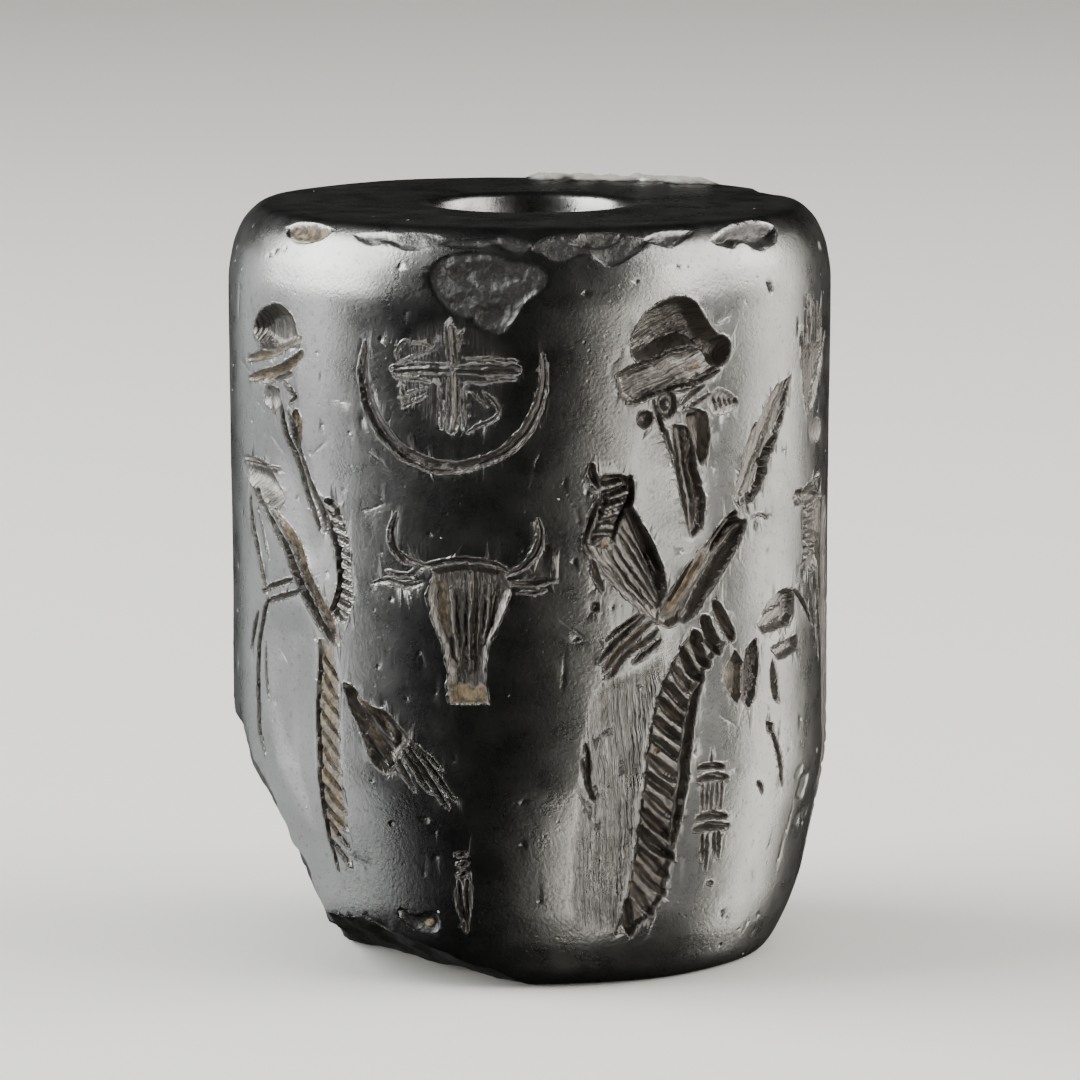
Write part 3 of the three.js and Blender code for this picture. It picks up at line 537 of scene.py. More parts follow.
def rightWorshipper():
    # turned left, one hand raised before the face and the other arm bent across the waist
    dent([(3.56, 12.86), (3.79, 11.63)], 2.4, 0.07)
    cap = [(2.48, 15.82), (2.55, 16.18), (2.76, 16.58), (3.15, 16.91), (3.63, 17.1), (4.13, 16.97),
        (4.45, 16.59), (4.76, 16.18), (5.13, 15.91), (5.29, 15.61), (5.2, 15.37), (4.82, 15.31),
        (4.4, 15.72), (4.05, 15.89), (3.23, 15.69), (2.71, 15.52)]
    hollow(cap, (3.45, 15.95), 2.1, 1.4, 0.78, 0.26, 0.0, 20, 66)
    scratches(cap, 66, 6, 1.5, 0.08, 0.1, 0.035, 33, 0.1)
    drill((4.94, 15.66), 0.36, 0.4, 0.56, 20)
    band = [(2.12, 15.21), (2.53, 15.41), (3.23, 15.62), (4.05, 15.82), (4.46, 15.82), (5.01, 15.54),
        (4.88, 15.23), (4.34, 15.02), (3.64, 14.85), (3.1, 14.73), (2.5, 14.52), (2.22, 14.72)]
    sink(band, 0.2, 0.16, soil=0.06, sharp=True, lean=69)
    scratches(band, 70, 4, 1.9, 0.08, 0.09, 0.04, 35, 0.15)
    cut([(2.1, 15.19), (2.71, 15.45), (3.36, 15.66), (4.17, 15.86)], 0.1, 0.3, 0.0, 0.3)
    cut([(2.4, 14.52), (2.97, 14.69), (3.64, 14.85), (4.34, 15), (4.94, 15.18)], 0.13, 0.34, 0.1, 0.3)
    cut([(4, 15.24), (4.31, 15.29), (4.61, 15.37)], 0.16, 0.26, 1.0)
    # the head is plain: two beads, a few short cuts and a bun of hair behind
    drill((2.87, 14.14), 0.2, 0.22, 0.22)
    drill((3.45, 14.45), 0.26, 0.34, 0.16, -10, 0, 0.4)
    cut([(3.21, 14.63), (3.26, 14.09), (3.45, 13.6)], 0.1, 0.2)
    cut([(3.1, 14.59), (3.15, 14.25), (3.34, 13.7)], 0.07, 0.12)
    cut([(3.8, 14.43), (4.11, 14.67), (4.52, 14.89)], 0.12, 0.18)
    cut([(3.86, 14.28), (4.26, 14.45), (4.7, 14.66)], 0.1, 0.16)
    cut([(3.61, 14.75), (3.89, 14.79), (4.23, 14.86)], 0.1, 0.12)
    sink([(4.58, 14.57), (5.01, 14.76), (5.46, 14.48), (5.53, 14.23), (5.01, 14.08), (4.7, 14.2)],
        0.07, 0.12, lean=40)
    for k in range(5):
        cut([(4.78 + 0.17 * k, 14.62 - 0.05 * k), (4.9 + 0.15 * k, 14.18 + 0.04 * k)], 0.09, 0.16, 0, 0.4)
    # long cuts of the beard with ridges between, and the dark lock behind them
    sink([(3.61, 13.98), (4, 13.91), (4.26, 13.18), (4.47, 12.07), (4.45, 11.34), (4.18, 11.17),
        (3.9, 11.99), (3.7, 12.98)], 0.14, 0.1, soil=0.15, sharp=True, lean=168)
    cut([(3.67, 13.88), (3.84, 12.97), (4.01, 12.1), (4.18, 11.36)], 0.1, 0.3, 0.2, 0.3)
    cut([(3.86, 13.91), (4.03, 13.03), (4.21, 12.21), (4.3, 11.45)], 0.12, 0.38, 0.0, 0.3)
    cut([(3.97, 13.81), (4.15, 13.07), (4.32, 12.28), (4.39, 11.54)], 0.07, 0.24, 0.8, 0.3)
    cut([(4.12, 13.61), (4.29, 12.82), (4.44, 12.07), (4.44, 11.49)], 0.1, 0.32, 0.0, 0.3)
    cut([(4.44, 12.32), (4.5, 11.87), (4.47, 11.34)], 0.1, 0.2, 0.1)
    cut([(3.45, 13.84), (3.53, 13.47), (3.67, 13.1)], 0.1, 0.12)
    sink([(4, 14.2), (4.52, 14.21), (4.67, 13.76), (4.62, 13.23), (4.47, 12.95), (4.26, 13.3),
        (4.09, 13.75)], 0.34, 0.16, soil=0.25, bowl=0.3, lean=-12)
    fold([(4.14, 14.04), (4.32, 13.54), (4.44, 13.1)], 0.1, 0.05, 0.6)
    cut([(3.89, 14.28), (4.23, 14.28), (4.52, 14.16)], 0.08, 0.14)
    # beaded bracelet and the hand above it
    sink([(1.73, 12.76), (2.1, 12.84), (2.46, 12.73), (2.53, 12.39), (2.41, 12.05), (2.18, 11.53),
        (2.08, 11.05), (1.78, 10.96), (1.46, 11.21), (1.63, 11.74), (1.73, 12.22)], 0.26, 0.1, soil=0.2)
    bars([(2.03, 12.55), (2.18, 12.3), (2.05, 12.04), (1.93, 11.83)], 0.24, 0.19, 0.26, 14, 45)
    bars([(1.85, 11.54), (1.86, 11.18)], 0.2, 0.26, 0.24, -8, 46)
    drill((1.88, 11.1), 0.14, 0.14, 0.2, 0, 1.0)
    cut([(2.48, 12.78), (2.53, 12.43), (2.48, 12.15), (2.31, 11.81), (2.13, 11.38), (2.03, 11.05)],
        0.15, 0.42, 0.0, 0.3)
    cut([(1.73, 12.27), (1.56, 11.86), (1.41, 11.5), (1.29, 11.09)], 0.13, 0.2, 0.15)
    cut([(1.83, 12.17), (1.71, 11.74), (1.53, 11.31)], 0.08, 0.16, 0.1)
    cut([(1.51, 13.08), (1.56, 12.81), (1.7, 12.51)], 0.2, 0.26, 0.0, 0.4)
    cut([(1.31, 11.26), (1.41, 11.02), (1.58, 10.77)], 0.1, 0.14)
    cut([(1.46, 10.9), (1.61, 10.48), (1.81, 9.99)], 0.16, 0.16, 0.4)
    drill((1.61, 9.6), 0.1, 0.14, 0.14, 20)
    # upper arm: a fan of folds that meet at the elbow, deepest behind
    sink([(1.36, 11.14), (1.78, 10.57), (2.33, 10.04), (2.85, 9.47), (3.27, 9.11), (3.43, 9.41),
        (3.41, 9.9), (3.35, 10.4), (3.11, 10.95), (2.74, 11.5), (2.36, 11.88), (2.15, 11.48)],
        0.2, 0.12, lean=148, sharp=True)
    cut([(2.41, 12), (2.72, 11.45), (2.95, 11), (3.19, 10.5), (3.35, 9.91)], 0.33, 0.52, 0.0, 0.3, 0.7)
    leave([(3.06, 10.71), (3.14, 10.55), (3.19, 10.41)], 0.1, 0.3)
    for line, width, soil in (
        ([(2.15, 11.53), (2.56, 10.85), (2.98, 10.22), (3.35, 9.57)], 0.13, 0.1),
        ([(2.03, 11.22), (2.49, 10.54), (2.93, 9.98), (3.3, 9.47)], 0.1, 0.1),
        ([(1.91, 11), (2.31, 10.43), (2.77, 9.87), (3.27, 9.38)], 0.12, 0.2),
        ([(1.76, 10.94), (2.16, 10.34), (2.64, 9.8), (3.19, 9.31)], 0.1, 0.1),
        ([(1.61, 10.94), (1.98, 10.39), (2.51, 9.83), (3.09, 9.27)], 0.12, 0.15),
        ([(1.49, 10.99), (1.86, 10.45), (2.41, 9.86), (2.93, 9.32)], 0.09, 0.1),
        ([(2.26, 11.62), (2.72, 10.92), (3.08, 10.31), (3.38, 9.76)], 0.1, 0.1),
    ):
        fold(line, width, 0.12, soil, 0.25)
    # forearm across the waist, brown with soil below, and a rough dark hand
    sink([(3.27, 9.18), (3.38, 9.71), (4.07, 10.52), (4.72, 11.07), (5.12, 11.53), (5.41, 11.7),
        (5.64, 11.5), (5.82, 11.22), (5.48, 10.76), (5.06, 10.26), (4.75, 9.95), (4.39, 9.58), (3.96, 9.2),
        (3.52, 9.02)], 0.3, 0.12, soil=0.1, sharp=True, lean=38)
    cut([(5.82, 11.36), (5.41, 10.89), (4.84, 10.21), (4.39, 9.68), (3.96, 9.18)], 0.4, 0.5, 0.0, 0.3, 0.7)
    cut([(3.46, 9.22), (3.9, 9.72), (4.36, 10.27), (4.72, 10.68)], 0.34, 0.38, 0.9, 0.35)
    cut([(4.07, 9.9), (4.42, 10.37), (4.72, 10.78)], 0.2, 0.46, 0.7, 0.4)
    leave([(3.68, 9.62), (4.07, 10.15), (4.33, 10.59)], 0.07, 0.14)
    leave([(4.39, 10.73), (4.66, 10.98), (4.9, 11.23)], 0.06, 0.16)
    cut([(3.57, 9.75), (4.01, 10.3), (4.48, 10.8), (4.96, 11.25)], 0.09, 0.38, 0.1, 0.3)
    cut([(4.7, 10.85), (5.12, 11.3), (5.5, 11.64)], 0.3, 0.62, 0.0, 0.3, 0.7)
    cut([(4.95, 10.72), (5.36, 11.14), (5.66, 11.42)], 0.26, 0.68, 0.0, 0.3, 0.7)
    # sleeve folds, and the open front of the robe
    for line, width, soil in (
        ([(2.88, 9.33), (2.34, 8.92), (1.86, 8.47), (1.66, 8.24)], 0.13, 0.3),
        ([(3.06, 9.19), (2.62, 8.83), (2.11, 8.44), (1.81, 8.06)], 0.14, 0.7),
        ([(3.22, 8.99), (2.88, 8.69), (2.36, 8.4), (1.91, 7.86)], 0.15, 0.5),
        ([(2.72, 9.36), (2.26, 9.09), (1.88, 8.77)], 0.09, 0.1),
        ([(3.3, 8.74), (2.98, 8.47), (2.57, 8.2)], 0.1, 0.2),
    ):
        cut(line, width, 0.22, soil, 0.35)
    dentField([(1.5, 7.65), (2.72, 8.19), (3.36, 8.44), (3.57, 7.94), (3.25, 7.15), (3.04, 6.31),
        (2.89, 4.85), (2.76, 3.13), (2.58, 1.67), (2.22, 1.34), (1.4, 1.4), (1.05, 2.1), (1.0, 3.45),
        (1.12, 5.17), (1.3, 6.38)], 0.12, 0.55, 1.0, -4)
    cut([(1.37, 6.27), (1.47, 5.78), (1.44, 5.29), (1.61, 4.84)], 0.16, 0.22, 0.3, 0.4)
    cut([(1.29, 5.9), (1.37, 5.53), (1.42, 5.21)], 0.1, 0.12, 0.3)
    hemInner = [(5.62, 10.06), (5.03, 9.65), (4.51, 9.18), (4.13, 8.73), (3.8, 8.31), (3.52, 7.84),
        (3.28, 7.27), (3.12, 6.67), (3.01, 6.06), (2.94, 5.33), (2.86, 4.6), (2.81, 3.87), (2.78, 3.13),
        (2.73, 2.4), (2.58, 1.86), (2.4, 1.38)]
    hemOuter = [(6.34, 9.29), (5.9, 8.87), (5.33, 8.52), (4.88, 8.24), (4.64, 7.95), (4.43, 7.62),
        (4.28, 7.14), (4.14, 6.61), (4.06, 6.11), (4, 5.37), (3.92, 4.76), (3.86, 4.28), (3.81, 3.54),
        (3.78, 2.8), (3.73, 2.32), (3.37, 1.8), (2.87, 1.45)]
    sink(hemInner[3:] + hemOuter[2:][::-1], 0.14, 0.12, soil=0.26, sharp=True, lean=134)
    hatch(hemInner[1:-1], hemOuter, 0.46, [(0.95, 10), (0.8, 8.6), (0.72, 7), (0.85, 2)],
        0.34, 0.42, 0.4, 47)
    cut(hemInner[3:], 0.08, 0.28, 0.1, 0.15)
    cut(hemOuter[5:13], 0.28, 0.3, 0.0, 0.35, 0.8)
    drill((3.28, 6), 0.12, 0.1, 0.3, 0, 0.9)


def stemAndSeeds():
    # feathered stem, two seeds side by side, a little lidded staff, and short branching strokes
    sink([(7.72, 14.85), (7.3, 13.64), (6.99, 13.38), (6.75, 12.79), (6.43, 12.5), (6.21, 12.16),
        (5.68, 11.79), (5.47, 11.99), (5.64, 12.46), (5.98, 13.41), (6.54, 14.09), (7.11, 14.64)],
        0.14, 0.1, sharp=True, lean=27)
    for line, width, depth in (
        ([(6.2, 13.78), (5.88, 13.05), (5.54, 12.13)], 0.14, 0.28),
        ([(7.62, 14.79), (7.03, 14.04), (6.39, 13.12), (5.64, 11.85)], 0.11, 0.26),
        ([(7.48, 14.48), (6.78, 13.57), (6.17, 12.65)], 0.1, 0.22),
        ([(7.11, 14.67), (6.39, 13.86), (5.95, 12.92)], 0.1, 0.18),
        ([(7.08, 13.44), (6.71, 12.97), (6.51, 12.55), (6.28, 12.18), (5.89, 11.87)], 0.2, 0.36),
        ([(6.95, 13.68), (6.55, 13.11), (6.17, 12.51)], 0.09, 0.24),
    ):
        cut(line, width, depth, 0.05, 0.35)
    for s, z in ((6.83, 13.1), (6.59, 12.61), (6.32, 12.22), (6.03, 11.98), (6.51, 12.82)):
        drill((s, z), 0.12, 0.09, 0.34, 40)
    cut([(6.07, 11.49), (6.4, 11.55), (6.8, 11.36)], 0.07, 0.07)
    cut([(6.21, 11.42), (6.18, 11.18)], 0.07, 0.07)
    cut([(5.89, 11.82), (5.96, 11.64)], 0.07, 0.07)
    sink([(5.53, 8.32), (5.2, 7.89), (5.17, 7.55), (5.4, 7.18), (5.6, 6.91), (5.77, 7.21), (5.91, 7.89)],
        0.26, 0.14, soil=0.42, sharp=True)
    sink([(5.91, 8.26), (6.31, 8.51), (6.39, 7.68), (6.24, 7.08), (6.06, 6.78), (5.74, 7.04), (5.84, 7.77)],
        0.2, 0.12, sharp=True, lean=0)
    for line in ([(5.98, 8.13), (5.95, 7.51), (5.91, 7.02)], [(6.12, 8.28), (6.13, 7.61), (6.06, 6.96)],
        [(6.27, 8.34), (6.27, 7.72), (6.17, 7.12)]):
        cut(line, 0.1, 0.3, 0.1, 0.3)
    for line, width in (([(4.41, 5.48), (4.8, 5.52), (5.21, 5.42)], 0.17),
        ([(4.38, 5.19), (4.83, 5.22), (5.34, 5.14)], 0.19),
        ([(4.44, 4.22), (4.9, 4.25), (5.45, 4.16)], 0.19),
        ([(4.41, 3.95), (4.93, 3.97), (5.55, 3.87)], 0.22)):
        cut(line, width, 0.26, 0.1, 0.4, 0.8)
    for s in (4.53, 4.68, 4.83, 4.99, 5.15):
        cut([(s, 5.06), (s + 0.03, 4.72), (s + 0.05, 4.4)], 0.09, 0.1, 0, 0.3)
    for s, low in ((4.71, 3.06), (4.87, 2.79), (5.09, 3.16), (5.25, 3.09)):
        cut([(s, 3.8), (s + 0.06, (3.8 + low) / 2), (s + 0.09, low)], 0.11, 0.13, 0, 0.4)
    drill((5.22, 2.48), 0.12, 0.06, 0.1, 20)
    sink([(7.43, 9.58), (7.98, 9.49), (7.98, 8.89), (7.73, 8.65), (6.54, 8.58), (6.3, 8.83), (6.85, 9.38)],
        0.24, 0.14, soil=0.04, sharp=True, lean=60)
    fold([(6.5, 8.78), (7.07, 9.06), (7.88, 9.2)], 0.13, 0.08)
    fold([(6.74, 8.6), (7.34, 8.77), (7.93, 8.95)], 0.12, 0.08)
    cut([(6.94, 9.37), (7.38, 9.51), (7.93, 9.47)], 0.12, 0.16)
    cut([(7.98, 9.51), (8.63, 9), (9.15, 8.45)], 0.16, 0.24, 0.0, 0.5)
    sink([(6.82, 8.2), (8.16, 8.37), (8.22, 7.99), (7.21, 7.82)], 0.22, 0.12, sharp=True, lean=60)
    fold([(7.08, 8.07), (7.63, 8.17), (8.05, 8.18)], 0.1, 0.08)
    sink([(6.83, 7.63), (6.95, 7.93), (7.17, 7.36), (7.27, 6.75), (7.04, 6.9), (6.91, 7.19)],
        0.2, 0.1, soil=0.1, sharp=True)
    sink([(6.67, 6.41), (7.01, 6.31), (7.01, 6.04), (6.76, 6.12)], 0.16, 0.08, sharp=True)
    cut([(6.92, 6.15), (7.19, 5.62), (7.33, 5.2), (7.52, 4.7)], 0.14, 0.18, 0.0, 0.4)
    cut([(6.41, 4.91), (6.56, 4.76), (6.68, 4.57)], 0.12, 0.12)


def sideFigure():
    # the third figure, which turns the right edge
    for k, s in enumerate((8.45, 8.7, 8.98, 9.3, 9.6)):
        cut([(s - 0.05, 16.75 - 0.1 * k), (s, 15.9), (s + 0.03, 14.95)], 0.15, 0.14, 0.0, 0.4)
    cut([(8.24, 15.88), (8.31, 15.26), (8.44, 14.5), (8.64, 13.76)], 0.16, 0.16, 0.0, 0.5)
    cut([(10.08, 15.68), (9.64, 14.98), (9.13, 14.3), (8.7, 13.76)], 0.16, 0.16, 0.0, 0.5)
    sink([(8.31, 15.38), (9.85, 15.33), (9.46, 14.38), (8.7, 13.81)], 0.1, 0.3)
    drill((9.3, 13.3), 0.5, 0.3, 0.12, 0)
    drill((8.17, 11.77), 0.3, 0.2, 0.16, 0, 0.3, 0.55)
    cut([(8.47, 11.85), (8.94, 11.97), (9.7, 12.17)], 0.2, 0.16, 0.0, 0.4)
    cut([(8.47, 11.65), (9.02, 11.63), (9.94, 11.56)], 0.14, 0.14, 0.0, 0.4)
    sink([(8.55, 11.65), (9.6, 11.6), (9.62, 9.95), (8.65, 10.0)], 0.14, 0.12, soil=0.1)
    bars([(9.08, 11.5 - 0.26 * k) for k in range(6)], 0.32, 0.19, 0.14, 0, 55)
    cut([(8.5, 11.7), (8.52, 10.8), (8.6, 9.8)], 0.12, 0.16, 0.1, 0.3)
    cut([(9.7, 11.7), (9.7, 10.8), (9.68, 9.6)], 0.14, 0.16, 0.1, 0.3)
    cut([(9.46, 9.86), (10.02, 8.45), (10.35, 7.14), (10.38, 6.28)], 0.14, 0.18, 0.0, 0.4)
    cut([(8.9, 9.86), (9.39, 8.79), (9.81, 7.47)], 0.1, 0.12, 0.0, 0.4)
    sink([(9.95, 11.3), (10.9, 11.2), (11.2, 8.6), (11.5, 5.4), (11.4, 2.4), (10.6, 2.6), (10.2, 6.0),
        (10.0, 8.6)], 0.12, 0.4, streak=0.8)
    ladder([(11.4, 9.0), (11.55, 6.5), (11.6, 3.4)], [(12.2, 8.6), (12.35, 6.2), (12.4, 3.0)],
        12, 0.22, 0.16, 0.2, 0.03, 57)


def farSide():
    # the hidden side: one more standing worshipper, a tall standard and a star, cut more plainly
    middle = 18.6
    shift = lambda places: [(middle + s, z) for s, z in places]
    sink(shift([(-0.95, 15.5), (-0.8, 16.2), (0, 16.7), (0.8, 16.2), (0.95, 15.5), (0, 15.3)]),
        0.22, 0.3, bowl=0.3)
    cut(shift([(-1.0, 15.1), (0, 15.0), (1.0, 15.1)]), 0.26, 0.18)
    drill((middle, 14.3), 0.45, 0.5, 0.18)
    sink(shift([(-0.85, 12.9), (0.85, 12.9), (0.75, 9.6), (-0.75, 9.6)]), 0.2, 0.35, streak=0.6)
    cut(shift([(0.6, 12.4), (1.5, 11.3), (1.75, 12.9)]), 0.4, 0.24)
    cut(shift([(0.5, 11.4), (1.2, 10.6), (0.3, 10.3)]), 0.36, 0.22)
    sink(shift([(-0.9, 9.2), (0.9, 9.2), (1.15, 6), (1.35, 2.6), (-1.35, 2.6), (-1.1, 6)]),
        0.16, 0.4, streak=1.0)
    ladder(shift([(1.15, 8.8), (1.35, 6), (1.6, 3)]), shift([(1.85, 8.4), (2.1, 5.7), (2.35, 2.6)]),
        15, 0.25, 0.17, 0.2, 0.03, 61)
    cut([(15.0, 13.2), (15.02, 9), (15.0, 4.6)], 0.22, 0.17, 0, 0.2)
    cut([(15.4, 13.2), (15.42, 9), (15.4, 4.6)], 0.22, 0.17, 0, 0.2)
    drill((15.2, 13.9), 0.5, 0.5, 0.24)
    ladder([(14.7, 12.6), (14.7, 11.2)], [(15.7, 12.6), (15.7, 11.2)], 4, 0.2, 0.15, 0, 0.02, 63)
    star = (21.4, 14.7)
    for k in range(4):
        reach = np.array((math.cos(math.pi * k / 4), math.sin(math.pi * k / 4))) * 0.95
        cut([np.array(star) - reach, np.array(star) + reach], 0.22, 0.2)
    # a second standard with a forked head, and three drilled dots
    cut([(27.8, 12.4), (27.82, 8.5), (27.8, 4.6)], 0.22, 0.17, 0, 0.2)
    cut([(28.2, 12.4), (28.22, 8.5), (28.2, 4.6)], 0.22, 0.17, 0, 0.2)
    cut([(26.8, 13.8), (27.3, 12.95), (28.0, 12.6), (28.7, 12.95), (29.2, 13.8)], 0.34, 0.2, 0, 0.4)
    ladder([(27.5, 12.0), (27.5, 11.0)], [(28.5, 12.0), (28.5, 11.0)], 3, 0.2, 0.15, 0, 0.02, 65)
    for spot in ((31.6, 14.6), (32.6, 13.8), (31.7, 13.0)):
        drill(spot, 0.36, 0.36, 0.2)
    # a robe's trailing edge joins the left figure's back
    sink([(girth - 11.6, 11.8), (girth - 10.6, 11.9), (girth - 10.2, 8.6), (girth - 10.4, 6.6),
        (girth - 11.9, 6.6), (girth - 11.8, 9.0)], 0.15, 0.35, streak=0.8)


for carve in (leftWorshipper, moonAndStar, bullHead, creature, rod, rightWorshipper, stemAndSeeds,
    sideFigure, farSide):
    carve()
print("carved, deepest", round(float(depthMap.max()), 3))
# carving mask, widened a cell each way onto the polished lip round every cut: there the darker carved colour
# is painted shade that dims the lip's highlight
carvedAndLipShadeMap = smoothStep(0.008, 0.07, depthMap)
for axis in (0, 1):
    carvedAndLipShadeMap = np.maximum(carvedAndLipShadeMap, 0.85 * np.maximum(np.roll(carvedAndLipShadeMap, 1, axis),
        np.roll(carvedAndLipShadeMap, -1, axis)))


wearMarks = {"scuffs": 9, "pits": 430, "scratches": 70, "scratchWidth": 0.08, "scratchDepth": 0.016}


def wear():
    # flakes and chips go on after the carving, with broken surfaces marked
    before = depthMap.copy()
    chip = [(-2.5, 17.5), (-2.2, 16.95), (-1.8, 16.6), (-1.3, 16.55), (-0.95, 16.2), (-0.45, 16.45),
        (-0.1, 17.0), (0.45, 17.5), (0.25, 17.9), (-0.5, 18.05), (-1.4, 18.2), (-2.3, 18.0)]
    sink(chip, 0.1, 0.2, bowl=0.3)
    sink([(-2.2, 17.9), (-2.0, 17.4), (-1.3, 17.15), (-0.5, 17.25), (-0.1, 17.6), (-0.9, 18.1)],
        0.2, 0.3, bowl=0.6)
    sink([(-1.45, 16.95), (-1.35, 16.4), (-0.8, 16.2), (-0.4, 16.5), (-0.3, 17.1), (-0.95, 17.2)],
        0.17, 0.4, bowl=0.6)
    # flakes along the upper rim
    for places, depth in (
        ([(-4.9, 18.5), (-4.3, 18.2), (-3.7, 18.28), (-3.1, 18.12), (-2.5, 18.3), (-2.4, 18.6),
            (-3.6, 18.62)], 0.05),
        ([(-2.3, 18.35), (-1.5, 18.2), (-0.9, 18.28), (-0.3, 18.12), (0.1, 18.4), (-0.8, 18.62)], 0.06),
        ([(0.0, 18.3), (0.7, 17.95), (1.4, 18.1), (2.0, 17.82), (2.7, 18.1), (3.1, 18.42), (2.0, 18.6),
            (0.8, 18.65)], 0.12),
        ([(3.0, 18.4), (3.6, 18.22), (4.2, 18.35), (4.6, 18.6), (3.7, 18.7)], 0.05),
        ([(0.9, 18.45), (1.5, 18.2), (2.3, 18.3), (2.5, 18.6), (1.5, 18.7)], 0.2),
    ):
        sink(places, depth, 0.16, bowl=0.5)
    sink([(-7.5, 18.3), (-6.6, 18.12), (-5.85, 18.3), (-5.8, 18.6), (-6.6, 18.72), (-7.4, 18.6)],
        0.16, 0.2, soil=0.75, bowl=0.5)
    sink([(5.0, 18.3), (5.6, 18.1), (6.0, 18.2), (6.5, 17.95), (7.4, 18.1), (7.7, 18.5), (7.0, 18.8),
        (6.0, 18.7)], 0.3, 0.3, bowl=0.6)
    sink([(13.2, 18.3), (14.6, 17.9), (15.8, 18.2), (15.9, 18.9), (14.5, 19.3), (13.3, 18.9)],
        0.3, 0.3, bowl=0.6)
    sink([(20.5, 18.2), (21.5, 18.0), (22.2, 18.3), (21.5, 18.7)], 0.15, 0.2, bowl=0.6)
    sink([(6.6, 17.25), (6.8, 17.2), (6.82, 16.98), (6.7, 16.92)], 0.12, 0.08)
    # the front chip at the foot, with a little soil
    sink([(-3.65, 1.95), (-3.25, 1.8), (-2.72, 1.97), (-2.5, 1.77), (-2.62, 1.45), (-3.12, 1.42),
        (-3.58, 1.6)], 0.14, 0.1, bowl=0.3)
    drill((-2.85, 1.62), 0.2, 0.1, 0.16, -25, 0.9)
    drill((-3.5, 1.86), 0.1, 0.06, 0.16, 0, 0.4)
    cut([(-4.9, 1.7), (-4.5, 1.45), (-4.1, 1.35)], 0.16, 0.06)
    rng = np.random.default_rng(71)
    for _ in range(wearMarks["scuffs"]):
        s, z = rng.uniform(8.3, 10.2), rng.uniform(3.3, 5.2)
        sink([(s - 0.25, z - 0.1), (s - 0.1, z + 0.2), (s + 0.25, z + 0.15), (s + 0.15, z - 0.2)],
            rng.uniform(0.02, 0.045), 0.1, bowl=0.4)
    for _ in range(wearMarks["pits"]):
        # small pits and nicks over the polish
        size = rng.uniform(0.03, 0.06) * (1 if rng.uniform() < 0.93 else 2)
        centre = (rng.uniform(around[0], around[-1]), rng.uniform(0.6, 18.6))
        drill(centre, size * rng.uniform(0.7, 1.6), size, size * rng.uniform(0.3, 0.7), rng.uniform(0, 180))
    for _ in range(wearMarks["scratches"]):
        centre = np.array((rng.uniform(-11, 11), rng.uniform(1, 18)))
        angle = rng.uniform(0, math.pi)
        reach = rng.uniform(0.15, 0.5) * np.array((math.cos(angle), math.sin(angle)))
        cut([centre - reach, centre + reach], wearMarks["scratchWidth"], wearMarks["scratchDepth"], 0, 0.6)
    return smoothStep(0.01, 0.08, depthMap - before)


# how much a cell keeps of its own depth and takes from each neighbour, then heights in millimetres
skin = {
    "own": 0.84,
    "neighbour": 0.04,
    "carvedRough": 0.012,
    "brokenRough": 0.03,
    "swell": 0.024,
    "ripple": 0.003,
    "crustRise": 0.13,
}
brokenMap = wear()
beside = sum(np.roll(depthMap, step, axis) for step in (1, -1) for axis in (0, 1))
depthMap = skin["own"] * depthMap + skin["neighbour"] * beside
outside = smoothStep(seal["cutBeyond"], 3.0, np.broadcast_to(rowRadius, depthMap.shape))
rough = layeredNoise(grid[0], grid[1], 0.32, 81, 3)
swell = skin["swell"] * layeredNoise(grid[0], grid[1], 4.6, 91, 2)
swell = swell + skin["ripple"] * layeredNoise(grid[0], grid[1], 0.8, 95, 2)
carvedRough = skin["carvedRough"] * carvedAndLipShadeMap * rough
brokenRough = skin["brokenRough"] * brokenMap * rough
cutAway = outside * (depthMap + dentMap + carvedRough + brokenRough) - swell * outside
# pale crust raised on the back of the upper end
crustHeart = np.hypot((grid[0] - girth / 2 + 3.2) / 2.9, (grid[1] - 19.15) / 0.55)
crustMap = smoothStep(0.25, -0.15, crustHeart - 1
    + 0.55 * layeredNoise(grid[0], grid[1], 0.8, 101, 3)) * outside
cutAway = cutAway - skin["crustRise"] * crustMap * (0.7 + 0.5 * rough)

angle = grid[0] / seal["maxRadius"]
radius = rowRadius - cutAway * rowOut
height = rowHeight - cutAway * rowUp
points = np.stack([radius * np.sin(angle), -radius * np.cos(angle), height], -1)


# surface beyond a break is drawn back along the line to the heart of the stone
breaks = [
    {"point": (-4.6, 0, 0), "normal": (-2.13, -0.16, -1),
        "rough": 0.12, "hollow": 0.26, "centre": (-5.85, 0.9, 2.6), "reach": 4.0, "seed": 111},
    {"point": (-4.05, -0.5, 0), "normal": (-0.37, -0.3, -1),
        "rough": 0.12, "hollow": 0.06, "centre": (-3.0, -4.6, 0.7), "reach": 1.8, "seed": 121},
]


